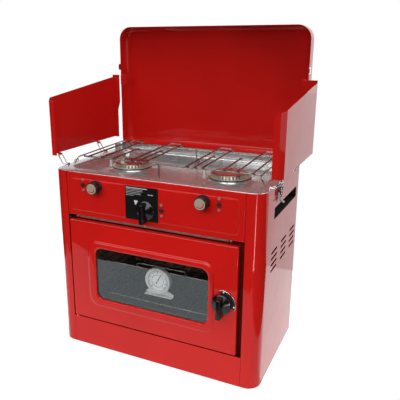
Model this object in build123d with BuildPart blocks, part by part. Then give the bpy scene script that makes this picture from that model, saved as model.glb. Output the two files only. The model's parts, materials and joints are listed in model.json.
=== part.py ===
"""Two-burner camping stove with an oven below, as separate pieces in one frame.

X runs to the right, Y to the back and Z up, in millimetres. The origin is the middle of the base, on
the floor. Names ending in _in are distances behind the front face of the body.
"""

import os

from build123d import *

os.makedirs("parts", exist_ok=True)

# Body
width = 510.0
depth = 288.0
height = 441.0
sheet = 1.0
corner_radius = 30.0
seam_inset = 37.7
seam_gap = 0.6
rear_return = 20.0
base_thickness = 1.0
fascia_top = 71.7
panel_height = 103.5

# Clearances
running_fit = 0.05
loose_fit = 0.3

# Hand slots and louvres in the sides
slot_length = 194.5
slot_height = 25.4
slot_behind_middle = 28.0
slot_drop = 59.7
slot_corner = 3.0
cup_depth = 24.0
cup_margin = 3.0
louvre_length = 47.5
louvre_height = 6.0
louvre_columns = 3
louvre_rows = 4
louvre_pitch_y = 78.7
louvre_pitch_z = 13.7
louvre_behind_middle = 25.0
louvre_drop = 167.5

# Rear panel
flue_length = 60.0
flue_height = 6.0
flue_pitch_x = 84.0
flue_pitch_z = 14.0
flue_drop = 151.0
flue_columns = 3
flue_rows = 4

# Control panel
emboss = 1.5
emboss_taper = 20.0
field_margin_left = 10.3
field_margin_right = 13.8
field_margin_bottom = 12.5
field_margin_top = 14.0
field_corner = 9.0
plate_left = -59.0
plate_right = 22.0
plate_margin_bottom = 0.5
plate_margin_top = 1.0
plate_thickness = 0.8

# Burner knobs and valves
knob_left_x = -134.0
knob_right_x = 127.0
knob_drop = 28.5
knob_radius = 15.0
knob_length = 21.0
knob_cap_radius = 12.0
knob_cap_thickness = 1.2
knob_chamfer = 1.5
stem_radius = 4.0
stem_depth = 14.0
valve_half = 13.0
valve_depth = 25.0
valve_drop = 14.0
jet_radius = 3.5
jet_length = 20.0

# Bar knobs of the oven valve and the door
oven_knob_x = -8.0
oven_knob_drop = 66.0
oven_disc_radius = 22.0
oven_bar_up = 20.0
oven_bar_down = 27.0
door_knob_inset = 33.0
door_knob_rise = 119.0
door_disc_radius = 25.0
door_bar_up = 22.0
door_bar_down = 27.0
disc_thickness = 7.5
bar_width = 10.5
bar_height = 17.0
bar_taper = 3.0
disc_edge = 2.0

# Igniters: a button between two screws
igniter_left_x = -170.0
igniter_left_drop = 27.4
igniter_middle_x = 30.0
igniter_middle_drop = 61.0
igniter_right_x = 161.0
igniter_right_drop = 29.8
igniter_screw_pitch = 24.2
igniter_radius = 9.0
igniter_depth = 23.0
button_radius = 4.5
button_reach = 5.0
button_travel = 3.0
button_inside = 8.0
screw_head_radius = 2.8
screw_head_height = 1.8
screw_shank_radius = 1.5

# Gas train
manifold_size = 12.0
manifold_drop = 41.0
manifold_left = -150.0
supply_inset = 55.0
supply_radius = 5.0
inlet_hex = 22.0
inlet_flange = 6.0
inlet_stub_radius = 7.0
inlet_stub_length = 22.0
inlet_bore_radius = 4.0
inlet_inside = 24.0

# Cooktop
rim_inset = 0.5
rim_rear_radius = 16.0
well_inset = 27.0
well_front_in = 31.0
well_rear_gap = 13.0
well_radius = 25.0
well_depth = 18.0
upstand_height = 13.0
upstand_wrap = 18.0

# Cooktop burners
burner_x = 128.0
burner_behind_middle = 4.0
burner_hole = 30.0
burner_neck = 29.0
burner_flange_radius = 44.0
burner_flange = 3.0
burner_ring_radius = 42.0
burner_ring = 4.0
burner_drop = 25.0
burner_boss_half = 15.0
burner_boss_reach = 38.0
burner_boss_height = 22.0
mixer_radius = 8.0
mixer_wall = 1.0
mixer_start_in = 44.0
cap_radius = 50.0
cap_plug_radius = 38.0
cap_gap = 2.0
cap_edge = 3.0
cap_dome_low = 33.0
cap_dome_high = 22.0
cap_dome = 5.0
cap_slot_count = 28
cap_slot_length = 8.0
cap_slot_width = 2.2
cap_slot_circle = 41.5
electrode_offset = 62.0
electrode_radius = 3.5
electrode_collar = 5.0
electrode_collar_height = 2.0
electrode_below = 12.0
electrode_above = 17.0
electrode_tip_radius = 0.9
electrode_tip = 8.0
electrode_bend = 1.5

# Pot grate
wire_radius = 1.5
cross_radius = 1.8
grate_bend = 6.0
finger_bend = 3.0
weld = 0.6
grate_front_in = 60.0
grate_rear_gap = 4.0
grate_front_rise = 21.0
grate_rear_rise = 26.0
grate_inset = 29.5
grate_foot_inset = 18.0
loop_inner = (52.0, 90.0)
loop_outer_inset = 20.5
loop_outer_width = 35.0
loop_front_in = 72.0
finger_xs = (71.0, 138.0)
finger_reach = 48.0
finger_hook = 5.0
cross_front_in = 84.0
cross_rear_gap = 22.0
middle_leg_front_x = -20.0
middle_leg_rear_x = -4.0

# Oven
frame_in = 14.0
frame_inset = 14.0
frame_lap = 7.5
oven_margin_left = 21.0
oven_margin_right = 45.0
oven_margin_bottom = 17.0
oven_margin_top = 13.0
oven_rear_gap = 21.0
cam_slot_half = 8.0
cam_slot_up = 10.0
cam_slot_down = 34.0
rack_upper_drop = 90.0
rack_lower_rise = 49.0
rack_front_in = 30.0
rack_rear_gap = 5.0
rack_frame_radius = 2.0
rack_bar_radius = 1.3
rack_bar_count = 12
rack_bend = 6.0
runner_width = 8.0
runner_thickness = 1.5
runner_front_in = 20.0
heat_plate_rise = 28.0
heat_plate_thickness = 1.2
heat_slot_count = 7
heat_slot_length = 60.0
heat_slot_width = 5.0
heat_slot_pitch = 44.0
oven_burner_radius = 9.0
oven_burner_rise = 13.0
oven_burner_front_in = 40.0
oven_port_count = 14
oven_port_radius = 1.2
oven_burner_foot = 20.0

# Oven thermometer
dial_x = 10.0
dial_drop = 18.0
dial_radius = 31.5
dial_face_radius = 28.0
dial_case_in = 16.0
dial_case_depth = 9.5
dial_rim = 1.2
stand_half = 35.0
stand_edge = 4.0
stand_waist_half = 20.0
stand_waist_drop = 25.0
stand_foot_drop = 37.0
stand_thickness = 1.5
stand_riser_half = 14.0
stand_hook_half = 5.0

# Oven door, hung on its left edge
door_gap = 1.3
door_latch_gap = 12.3
door_top_gap = 12.5
door_depth = 11.0
door_edge = 2.0
door_pivot_inset = 5.0
door_pivot_in = 5.0
door_pin_radius = 2.5
door_pin_length = 6.0
door_bracket_thickness = 4.0
door_bracket_width = 14.2
door_bracket_front_in = 2.0
bezel_margin_left = 45.0
bezel_margin_right = 50.0
bezel_margin_bottom = 38.0
bezel_margin_top = 43.0
bezel_corner = 26.0
bezel_height = 4.0
bezel_taper = 35.0
bezel_width_left = 25.0
bezel_width_right = 15.0
bezel_width_bottom = 22.0
bezel_width_top = 18.0
window_corner = 18.0
glass_thickness = 4.0
glass_lap = 12.0
retainer_width = 10.0
inner_lap = 4.0
seal_lap_left = 13.0
seal_lap_right = 7.0
seal_lap_bottom = 10.0
seal_lap_top = 8.0
seal_width = 8.0
seal_thickness = 1.7
escutcheon_inner = 14.0
escutcheon_outer = 30.5
escutcheon_thickness = 1.2
escutcheon_start = -18.0
escutcheon_sweep = 118.0
escutcheon_boss = 14.5
door_shaft_radius = 4.0
cam_gap = 1.5
cam_thickness = 3.0
cam_half = 6.0
cam_length = 29.0

# Lid, standing open behind the cooktop
lid_overhang = 2.5
lid_depth = 37.5
lid_front_over = 4.0
lid_rear_gap = 4.0
lid_top_radius = 33.0
lid_bottom_radius = 14.0
lid_back_radius = 5.0
rim_gap = 5.5

# Lid hinge
hinge_behind = 27.0
hinge_rise = 5.0
hinge_inset = 27.0
hinge_pin_radius = 2.0
knuckle_radius = 4.0
knuckle_width = 8.0
ear_width = 5.0
ear_gap = 1.0
bracket_height = 40.0
bracket_drop = 1.0
bracket_thickness = 2.0
leaf_start = 5.5
leaf_length = 26.0
leaf_half = 10.0
leaf_thickness = 1.5
notch_half = 13.0
lid_lug_reach = 16.0
lid_lug_height = 26.0

# Windscreens
screen_clear = 1.1
screen_reach = 21.4
screen_rise = 27.0
screen_front_height = 132.0
screen_rear_height = 166.0
screen_front_in = 22.0
screen_rear_gap = 5.5
screen_bend_out = 8.5
screen_bend_back = 14.0
screen_flange_drop = 6.0
screen_rear_flange = 15.0
ear_low_height = 77.0
ear_full_height = 98.0
ear_over = 6.0
ear_slot_drop = 12.0
ear_slot_length = 11.0
ear_slot_width = 4.0
ear_slot_inset = 10.0
link_front_in = 53.0
link_rear_gap = 70.0
link_half = 7.0
link_radius = 1.25
link_bend = 2.2
link_inset = 3.0
link_rise = 2.5
link_level = 9.0
link_top_out = 21.5
link_top_up = 22.0
lug_half = 4.0
lug_inset = 6.0
lug_width = 5.4
lug_rise = 5.0
tab_half = 4.5
tab_radius = 2.7

# Side latches
latch_rear_gap = 188.0
latch_plate_drop = 4.0
latch_plate_height = 33.0
latch_half = 11.0
latch_plate = 1.2
latch_pivot_out = 3.6
latch_pivot_drop = 13.0
latch_pin_radius = 1.3
latch_ear_in = 9.2
latch_ear = 1.5
latch_ear_radius = 3.4
lever_half = 5.5
lever_knuckle = 2.2
lever_out = 4.4
lever_thickness = 1.4
lever_tip_drop = 36.0
lever_flare_out = 13.0
lever_flare_drop = 40.0
bail_out = 6.5
bail_drop = 24.0
bail_radius = 1.2
bail_bend = 1.8
bail_half = 7.4
bail_length = 27.0
bail_lug = 2.5
catch_half = 8.0
catch_thickness = 1.0
catch_drop = 1.0
catch_length = 20.0
catch_ledge = 2.4
catch_ledge_half = 5.0

# Places on the body
front = -depth / 2
rear = depth / 2
half = width / 2
seam_half = half - seam_inset
panel_half = seam_half - seam_gap
face = front - emboss
panel_bottom = height - panel_height
slot_mid_in = depth / 2 + slot_behind_middle
slot_mid_z = height - slot_drop
louvre_mid_in = depth / 2 + louvre_behind_middle
louvre_mid_z = height - louvre_drop
flue_mid_z = height - flue_drop

# Places on the control panel and in the gas train
field_left = -seam_half + field_margin_left
field_right = seam_half - field_margin_right
field_bottom = panel_bottom + field_margin_bottom
field_top = height - field_margin_top
plate_bottom = field_bottom + plate_margin_bottom
plate_top = field_top - plate_margin_top
knob_z = height - knob_drop
oven_knob_z = height - oven_knob_drop
igniter_left = (igniter_left_x, height - igniter_left_drop)
igniter_middle = (igniter_middle_x, height - igniter_middle_drop)
igniter_right = (igniter_right_x, height - igniter_right_drop)
manifold_in = sheet + valve_depth
manifold_z = height - manifold_drop
supply_x = half - supply_inset
manifold_right = supply_x + manifold_size / 2

# Places on the cooktop
floor_top = height + sheet - well_depth
floor_bottom = floor_top - sheet
well_half = half - well_inset
well_rear_in = depth - well_rear_gap
burner_in = depth / 2 + burner_behind_middle
burner_y = front + burner_in
burner_boss_in = burner_in - burner_boss_reach
grate_rear_in = depth - grate_rear_gap
grate_front_z = height + grate_front_rise
grate_rear_z = height + grate_rear_rise
grate_half = half - grate_inset
grate_foot_half = half - grate_foot_inset
loop_outer = (grate_half - loop_outer_inset - loop_outer_width, grate_half - loop_outer_inset)
finger_rear_in = burner_in + finger_reach
cross_rear_in = grate_rear_in - cross_rear_gap

# Places on the oven and its door
door_left = -seam_half + door_gap
door_right = seam_half - door_latch_gap
door_bottom = fascia_top + door_gap
door_top = panel_bottom - door_top_gap
door_pivot_x = door_left + door_pivot_inset
door_knob_x = door_right - door_knob_inset
door_knob_z = door_bottom + door_knob_rise
bezel_left = door_left + bezel_margin_left
bezel_right = door_right - bezel_margin_right
bezel_bottom = door_bottom + bezel_margin_bottom
bezel_top = door_top - bezel_margin_top
window_left = bezel_left + bezel_width_left
window_right = bezel_right - bezel_width_right
window_bottom = bezel_bottom + bezel_width_bottom
window_top = bezel_top - bezel_width_top
frame_half = half - frame_inset
frame_top = panel_bottom + frame_lap
oven_left = door_left + oven_margin_left
oven_right = door_right - oven_margin_right
oven_bottom = door_bottom + oven_margin_bottom
oven_top = door_top - oven_margin_top
oven_rear_in = depth - oven_rear_gap
seal_left = oven_left - seal_lap_left
seal_right = oven_right + seal_lap_right
seal_bottom = oven_bottom - seal_lap_bottom
seal_top = oven_top + seal_lap_top
rack_upper_z = oven_top - rack_upper_drop
rack_lower_z = oven_bottom + rack_lower_rise
rack_rear_in = oven_rear_in - rack_rear_gap
heat_plate_z = oven_bottom + heat_plate_rise
oven_burner_z = oven_bottom + oven_burner_rise
dial_z = rack_upper_z - dial_drop
stand_foot_z = dial_z - stand_foot_drop
stand_waist_z = dial_z - stand_waist_drop

# Places on the lid and its hinge
lid_half = half + lid_overhang
rim_closed = height + rim_gap
hinge_in = depth + hinge_behind
hinge_y = front + hinge_in
hinge_z = height + hinge_rise
hinge_mid = half - hinge_inset
bracket_top = height - bracket_drop
lid_rim_y = hinge_y + rim_closed - hinge_z
lid_low = hinge_z + lid_rear_gap
lid_high = hinge_z + hinge_in + lid_front_over

# Places on the windscreens
screen_inner = lid_half + screen_clear
screen_face = screen_inner + screen_reach
screen_fold = screen_face - screen_bend_out
screen_fold_in = screen_front_in + screen_bend_back
screen_rear_in = hinge_in - screen_rear_gap
screen_bottom = height + screen_rise
screen_front_top = screen_bottom + screen_front_height
screen_rear_top = screen_bottom + screen_rear_height
ear_low = screen_bottom + ear_low_height
ear_full = screen_bottom + ear_full_height
ear_top = screen_rear_top + ear_over
ear_slot_x = screen_face - ear_slot_inset
ear_slot_z = ear_top - ear_slot_drop
link_ins = (link_front_in, depth - link_rear_gap)
link_pivot_x = half - link_inset
link_pivot_z = height + link_rise
lug_inner = half - lug_inset
lug_outer = lug_inner + lug_width
lug_top = height + lug_rise

# Places on the side latches
latch_in = depth - latch_rear_gap
latch_y = front + latch_in
latch_high = height - latch_plate_drop
latch_low = latch_high - latch_plate_height
latch_pivot_x = half + latch_pivot_out
latch_pivot_z = height - latch_pivot_drop
lever_inner = half + lever_out
lever_tip_z = height - lever_tip_drop
lever_flare_x = half + lever_flare_out
lever_flare_z = height - lever_flare_drop
bail_x = half + bail_out
bail_z = height - bail_drop
catch_low = height - catch_drop
catch_high = catch_low + catch_length
catch_z = hinge_z + hinge_in - latch_in


def keep(part, name):
    """Label a finished piece and write it."""
    part.label = name
    export_step(part, f"parts/{name}.step")


def block(x, y, z, mode=Mode.ADD):
    """A box between pairs of limits."""
    with Locations(((x[0] + x[1]) / 2, (y[0] + y[1]) / 2, (z[0] + z[1]) / 2)):
        Box(abs(x[1] - x[0]), abs(y[1] - y[0]), abs(z[1] - z[0]), mode=mode)


def rod(start, end, radius, mode=Mode.ADD):
    """A round bar from one point to another."""
    line = Vector(*end) - Vector(*start)
    middle = (Vector(*end) + Vector(*start)) / 2
    with Locations(Plane(origin=middle, z_dir=line)):
        Cylinder(radius, line.length, mode=mode)


def wire(points, radius, bend, closed=False):
    """A wire bent through points."""
    with BuildLine() as path:
        FilletPolyline(*points, radius=bend, close=closed)
    with BuildSketch(path.line ^ 0) as section:
        Circle(radius)
    sweep(section.sketch, path=path.line)


def across(x, z, y_start, y_end, radius, mode=Mode.ADD):
    """A round bar or hole along Y."""
    rod((x, y_start, z), (x, y_end, z), radius, mode)


# Body panels
def side_panel(hand, name):
    """One side, wrapped round its front corner, with hand slot and louvres."""
    with BuildPart() as panel:
        with BuildSketch() as plan:
            Rectangle(width, depth)
            fillet(plan.vertices().group_by(Axis.Y)[0], corner_radius)
            offset(amount=-sheet, mode=Mode.SUBTRACT)
            with Locations((hand * (seam_half + half) / 2, 0)):
                Rectangle(half - seam_half, depth, mode=Mode.INTERSECT)
        extrude(amount=height)
        block(
            (hand * seam_half, hand * (half - rear_return)), (rear - sheet, rear), (0, height), Mode.SUBTRACT
        )
        with BuildSketch(Plane.YZ):
            with Locations((front + slot_mid_in, slot_mid_z)):
                RectangleRounded(slot_length, slot_height, slot_corner)
            with Locations((front + louvre_mid_in, louvre_mid_z)):
                with GridLocations(louvre_pitch_y, louvre_pitch_z, louvre_columns, louvre_rows):
                    SlotOverall(louvre_length, louvre_height)
        extrude(amount=hand * width, mode=Mode.SUBTRACT)
    keep(panel.part, name)


side_panel(-1, "side_left")
side_panel(1, "side_right")

with BuildPart() as rear_panel:
    block((-half + sheet, half - sheet), (rear - 2 * sheet, rear - sheet), (base_thickness, height))
    with BuildSketch(Plane.XZ.offset(-rear + sheet)):
        with Locations((0, flue_mid_z)):
            with GridLocations(flue_pitch_x, flue_pitch_z, flue_columns, flue_rows):
                SlotOverall(flue_length, flue_height)
    extrude(amount=sheet, mode=Mode.SUBTRACT)
    across(
        supply_x, manifold_z, rear - 2 * sheet, rear - sheet, inlet_stub_radius + loose_fit, Mode.SUBTRACT
    )
keep(rear_panel.part, "rear_panel")

with BuildPart() as base_plate:
    with BuildSketch() as base_outline:
        Rectangle(width, depth)
        fillet(base_outline.vertices().group_by(Axis.Y)[0], corner_radius)
        offset(amount=-sheet - running_fit, mode=Mode.REPLACE)
    extrude(amount=base_thickness)
keep(base_plate.part, "base_plate")

with BuildPart() as lower_front:
    block((-panel_half, panel_half), (front, front + sheet), (0, fascia_top))
keep(lower_front.part, "lower_front")

with BuildPart() as control_panel:
    block((-panel_half, panel_half), (front, front + sheet), (panel_bottom, height))
    block((-panel_half, panel_half), (front + sheet, front + frame_in), (panel_bottom, panel_bottom + sheet))
    with BuildSketch(Plane.XZ.offset(-front)):
        with Locations(((field_left + field_right) / 2, (field_bottom + field_top) / 2)):
            RectangleRounded(field_right - field_left, field_top - field_bottom, field_corner)
    extrude(amount=emboss, taper=emboss_taper)
    for knob_x, knob_height in ((knob_left_x, knob_z), (knob_right_x, knob_z), (oven_knob_x, oven_knob_z)):
        across(knob_x, knob_height, face, front + sheet, stem_radius + loose_fit, Mode.SUBTRACT)
    for button_x, button_z in (igniter_left, igniter_middle, igniter_right):
        across(button_x, button_z, face, front + sheet, button_radius + running_fit, Mode.SUBTRACT)
        for lift in (-igniter_screw_pitch / 2, igniter_screw_pitch / 2):
            across(
                button_x, button_z + lift, face, front + sheet, screw_shank_radius + loose_fit, Mode.SUBTRACT
            )
keep(control_panel.part, "control_panel")

with BuildPart() as control_plate:
    block((plate_left, plate_right), (face - plate_thickness, face), (plate_bottom, plate_top))
    across(oven_knob_x, oven_knob_z, face - plate_thickness, face, stem_radius + loose_fit, Mode.SUBTRACT)
keep(control_plate.part, "control_plate")

with BuildPart() as slot_cups:
    for hand in (-1, 1):
        mouth = half - sheet
        cup_y = (front + slot_mid_in - slot_length / 2, front + slot_mid_in + slot_length / 2)
        cup_z = (slot_mid_z - slot_height / 2, slot_mid_z + slot_height / 2)
        block(
            (hand * (mouth - cup_depth), hand * mouth),
            (cup_y[0] - cup_margin, cup_y[1] + cup_margin),
            (cup_z[0] - cup_margin, cup_z[1] + cup_margin),
        )
        block((hand * (mouth - cup_depth + sheet), hand * mouth), cup_y, cup_z, Mode.SUBTRACT)
keep(slot_cups.part, "slot_cups")

# Gas valves, manifold and inlet
with BuildPart() as valves:
    low = manifold_z - manifold_size / 2
    for valve_x, valve_z, top in (
        (knob_left_x, knob_z, knob_z + valve_drop),
        (knob_right_x, knob_z, knob_z + valve_drop),
        (oven_knob_x, oven_knob_z, manifold_z + manifold_size / 2),
    ):
        block(
            (valve_x - valve_half, valve_x + valve_half),
            (front + sheet, front + manifold_in),
            (min(low, valve_z - valve_drop), top),
        )
        across(
            valve_x, valve_z, front + sheet, front + sheet + stem_depth, stem_radius + running_fit,
            Mode.SUBTRACT,
        )
    for valve_x in (knob_left_x, knob_right_x):
        across(valve_x, knob_z, front + manifold_in, front + manifold_in + jet_length, jet_radius)
keep(valves.part, "valves")

with BuildPart() as manifold:
    block(
        (manifold_left, manifold_right),
        (front + manifold_in, front + manifold_in + manifold_size),
        (manifold_z - manifold_size / 2, manifold_z + manifold_size / 2),
    )
    across(supply_x, manifold_z, front + manifold_in + manifold_size, rear - inlet_inside, supply_radius)
keep(manifold.part, "manifold")

with BuildPart() as gas_inlet:
    across(supply_x, manifold_z, rear - inlet_inside, rear - sheet + inlet_flange, inlet_stub_radius)
    with BuildSketch(Plane.XZ.offset(-rear + sheet)):
        with Locations((supply_x, manifold_z)):
            RegularPolygon(inlet_hex / 2, 6)
    extrude(amount=-inlet_flange)
    across(supply_x, manifold_z, rear, rear + inlet_stub_length, inlet_stub_radius)
    across(supply_x, manifold_z, rear, rear + inlet_stub_length, inlet_bore_radius, Mode.SUBTRACT)
keep(gas_inlet.part, "gas_inlet")

# Igniters
with BuildPart() as igniters:
    for button_x, button_z in (igniter_left, igniter_middle, igniter_right):
        across(button_x, button_z, front + sheet, front + sheet + igniter_depth, igniter_radius)
        across(
            button_x, button_z, front + sheet, front + sheet + button_inside + button_travel + loose_fit,
            button_radius + running_fit, Mode.SUBTRACT,
        )
keep(igniters.part, "igniters")

with BuildPart() as igniter_screws:
    for button_x, button_z in (igniter_left, igniter_middle, igniter_right):
        for lift in (-igniter_screw_pitch / 2, igniter_screw_pitch / 2):
            across(button_x, button_z + lift, face - screw_head_height, face, screw_head_radius)
            across(button_x, button_z + lift, face, front + sheet, screw_shank_radius)
keep(igniter_screws.part, "igniter_screws")


def igniter_button(place, name):
    """One sliding igniter button."""
    with BuildPart() as button:
        across(place[0], place[1], face - button_reach, front + sheet + button_inside, button_radius)
        fillet(button.faces().sort_by(Axis.Y)[0].edges(), button_radius / 4)
    keep(button.part, name)


igniter_button(igniter_left, "button_left")
igniter_button(igniter_middle, "button_middle")
igniter_button(igniter_right, "button_right")


# Knobs
def burner_knob(x, name):
    """A round black knob on its valve stem, with a metal cap in its face."""
    start = face - loose_fit
    end = start - knob_length
    with BuildPart() as knob:
        across(x, knob_z, end, start, knob_radius)
        chamfer(knob.faces().sort_by(Axis.Y)[0].edges(), knob_chamfer)
        across(x, knob_z, start, front + sheet + stem_depth - loose_fit, stem_radius)
        across(x, knob_z, end, end + knob_cap_thickness, knob_cap_radius, Mode.SUBTRACT)
    keep(knob.part, name)
    with BuildPart() as cap:
        across(x, knob_z, end, end + knob_cap_thickness, knob_cap_radius - running_fit)
    keep(cap.part, name + "_cap")


burner_knob(knob_left_x, "knob_left")
burner_knob(knob_right_x, "knob_right")


def bar_knob(x, z, seat, disc_radius, bar_up, bar_down, shaft_radius, shaft_end, name):
    """A disc with a bar grip across it, on a shaft."""
    start = seat - loose_fit
    disc_end = start - disc_thickness
    with BuildPart() as knob:
        across(x, z, disc_end, start, disc_radius)
        fillet(knob.faces().sort_by(Axis.Y)[0].edges(), disc_edge)
        with BuildSketch(Plane.XZ.offset(-start)):
            with Locations((x, z + (bar_up - bar_down) / 2)):
                RectangleRounded(bar_width, bar_up + bar_down, bar_width / 3)
        extrude(amount=disc_thickness + bar_height, taper=bar_taper)
        across(x, z, start, shaft_end, shaft_radius)
    keep(knob.part, name)


bar_knob(
    oven_knob_x, oven_knob_z, face - plate_thickness, oven_disc_radius, oven_bar_up, oven_bar_down,
    stem_radius, front + sheet + stem_depth - loose_fit, "knob_oven",
)
cam_start = front + frame_in + sheet + cam_gap
bar_knob(
    door_knob_x, door_knob_z, front - bezel_height, door_disc_radius,
    door_bar_up, door_bar_down, door_shaft_radius, cam_start, "door_knob",
)

with BuildPart() as door_cam:
    across(door_knob_x, door_knob_z, cam_start, cam_start + cam_thickness, cam_half)
    block(
        (door_knob_x - cam_half, door_knob_x + cam_half),
        (cam_start, cam_start + cam_thickness),
        (door_knob_z - cam_length, door_knob_z),
    )
keep(door_cam.part, "door_cam")

# Cooktop with its well and rear upstand
with BuildPart() as cooktop:
    with BuildSketch(Plane.XY.offset(height)) as rim:
        Rectangle(width - 2 * rim_inset, depth - 2 * rim_inset)
        fillet(rim.vertices().group_by(Axis.Y)[0], corner_radius - rim_inset)
        fillet(rim.vertices().group_by(Axis.Y)[-1], rim_rear_radius)
    extrude(amount=sheet)
    with BuildSketch(Plane.XY.offset(floor_bottom)):
        with Locations((0, front + (well_front_in + well_rear_in) / 2)):
            RectangleRounded(
                2 * well_half + 2 * sheet, well_rear_in - well_front_in + 2 * sheet, well_radius + sheet
            )
    extrude(amount=height - floor_bottom)
    with BuildSketch(Plane.XY.offset(floor_top)):
        with Locations((0, front + (well_front_in + well_rear_in) / 2)):
            RectangleRounded(2 * well_half, well_rear_in - well_front_in, well_radius)
    extrude(amount=well_depth, mode=Mode.SUBTRACT)
    with BuildSketch(Plane.XY.offset(height + sheet)) as upstand:
        Rectangle(width - 2 * rim_inset, depth - 2 * rim_inset)
        fillet(upstand.vertices().group_by(Axis.Y)[-1], rim_rear_radius)
        offset(amount=-sheet, mode=Mode.SUBTRACT)
        with Locations((0, rear - upstand_wrap / 2)):
            Rectangle(width, upstand_wrap, mode=Mode.INTERSECT)
    extrude(amount=upstand_height)
    for x in (-burner_x, burner_x):
        rod((x, burner_y, floor_bottom), (x, burner_y, floor_top), burner_hole, Mode.SUBTRACT)
        pin_x = x - electrode_offset
        rod(
            (pin_x, burner_y, floor_bottom), (pin_x, burner_y, floor_top), electrode_radius + loose_fit,
            Mode.SUBTRACT,
        )
keep(cooktop.part, "cooktop")

ring_top = floor_top + burner_flange + burner_ring
burners = ((-burner_x, knob_left_x), (burner_x, knob_right_x))

with BuildPart() as burner_bases:
    for x, knob_x in burners:
        rod((x, burner_y, floor_top - burner_drop), (x, burner_y, floor_top), burner_neck)
        rod((x, burner_y, floor_top), (x, burner_y, floor_top + burner_flange), burner_flange_radius)
        rod((x, burner_y, floor_top + burner_flange), (x, burner_y, ring_top), burner_ring_radius)
        boss_top = floor_bottom - loose_fit
        block(
            (x - burner_boss_half, x + burner_boss_half), (front + burner_boss_in, burner_y),
            (boss_top - burner_boss_height, boss_top),
        )
keep(burner_bases.part, "burner_bases")

with BuildPart() as burner_caps:
    edge_top = ring_top + cap_gap + cap_edge
    for x, knob_x in burners:
        rod((x, burner_y, ring_top), (x, burner_y, ring_top + cap_gap), cap_plug_radius)
        rod((x, burner_y, ring_top + cap_gap), (x, burner_y, edge_top), cap_radius)
        with Locations((x, burner_y, edge_top)):
            Cone(cap_dome_low, cap_dome_high, cap_dome, align=(Align.CENTER, Align.CENTER, Align.MIN))
        with Locations((x, burner_y, edge_top)):
            with PolarLocations(cap_slot_circle, cap_slot_count):
                Box(cap_slot_length, cap_slot_width, cap_edge, mode=Mode.SUBTRACT)
keep(burner_caps.part, "burner_caps")

with BuildPart() as mixers:
    for x, knob_x in burners:
        across(knob_x, knob_z, front + mixer_start_in, front + burner_boss_in, mixer_radius)
        across(
            knob_x, knob_z, front + mixer_start_in, front + burner_boss_in,
            mixer_radius - mixer_wall, Mode.SUBTRACT,
        )
keep(mixers.part, "mixers")

with BuildPart() as electrodes:
    for x in (-burner_x, burner_x):
        pin_x = x - electrode_offset
        tip = floor_top + electrode_above
        collar_top = floor_top + electrode_collar_height
        rod((pin_x, burner_y, floor_top - electrode_below), (pin_x, burner_y, tip), electrode_radius)
        rod((pin_x, burner_y, floor_top), (pin_x, burner_y, collar_top), electrode_collar)
        wire(
            [
                (pin_x, burner_y, tip),
                (pin_x, burner_y, tip + electrode_tip / 3),
                (pin_x + electrode_tip, burner_y, tip + electrode_tip / 2),
            ],
            electrode_tip_radius, electrode_bend,
        )
keep(electrodes.part, "electrodes")


# Pot grate, one welded wire piece that rises towards the back
def grate_z(place_in):
    """Height of a grate bar at a distance behind the front."""
    share = (place_in - grate_front_in) / (grate_rear_in - grate_front_in)
    return grate_front_z + share * (grate_rear_z - grate_front_z)


def grate_point(x, place_in, drop=0.0):
    """A point on a grate bar."""
    return (x, front + place_in, grate_z(place_in) - drop)


with BuildPart() as grate:
    cross_drop = wire_radius + cross_radius - weld
    for hand in (-1, 1):
        foot = (hand * grate_foot_half, front + grate_front_in, height + sheet + wire_radius)
        rear_foot = (foot[0], front + grate_rear_in - 2 * wire_radius, foot[2])
        edge_start = grate_point(hand * grate_half, grate_front_in)
        edge_end = grate_point(hand * grate_half, grate_rear_in)
        wire([foot, edge_start, edge_end, rear_foot], wire_radius, grate_bend)
        for inner, outer in (loop_inner, loop_outer):
            wire(
                [
                    grate_point(hand * inner, loop_front_in),
                    grate_point(hand * inner, grate_rear_in),
                    grate_point(hand * outer, grate_rear_in),
                    grate_point(hand * outer, loop_front_in),
                ],
                wire_radius, grate_bend,
            )
        for finger_x in finger_xs:
            end = grate_point(hand * finger_x, finger_rear_in)
            hook = (end[0], end[1] + finger_hook, end[2] - finger_hook)
            wire([grate_point(hand * finger_x, loop_front_in), end, hook], wire_radius, finger_bend)
    for place_in, leg_x in ((cross_front_in, middle_leg_front_x), (cross_rear_in, middle_leg_rear_x)):
        cross_start = grate_point(-grate_half, place_in, cross_drop)
        cross_end = grate_point(grate_half, place_in, cross_drop)
        rod(cross_start, cross_end, cross_radius)
        rod(grate_point(leg_x, place_in, cross_drop), (leg_x, front + place_in, floor_top), cross_radius)
keep(grate.part, "grate")

# Oven
with BuildPart() as oven_frame:
    frame_y = (front + frame_in, front + frame_in + sheet)
    block((-frame_half, frame_half), frame_y, (base_thickness, frame_top))
    block((oven_left, oven_right), frame_y, (oven_bottom, oven_top), Mode.SUBTRACT)
    block(
        (door_knob_x - cam_slot_half, door_knob_x + cam_slot_half), frame_y,
        (door_knob_z - cam_slot_down, door_knob_z + cam_slot_up), Mode.SUBTRACT,
    )
keep(oven_frame.part, "oven_frame")

liner_front = front + frame_in + sheet
liner_rear = front + oven_rear_in
with BuildPart() as oven_liner:
    block(
        (oven_left - sheet, oven_right + sheet), (liner_front, liner_rear + sheet),
        (oven_bottom - sheet, oven_top + sheet),
    )
    block((oven_left, oven_right), (liner_front, liner_rear), (oven_bottom, oven_top), Mode.SUBTRACT)
    for rack_z in (rack_upper_z, rack_lower_z):
        seat = rack_z - rack_frame_radius
        for wall, hand in ((oven_left, 1), (oven_right, -1)):
            block(
                (wall, wall + hand * runner_width), (front + runner_front_in, liner_rear),
                (seat - runner_thickness, seat),
            )
keep(oven_liner.part, "oven_liner")

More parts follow.
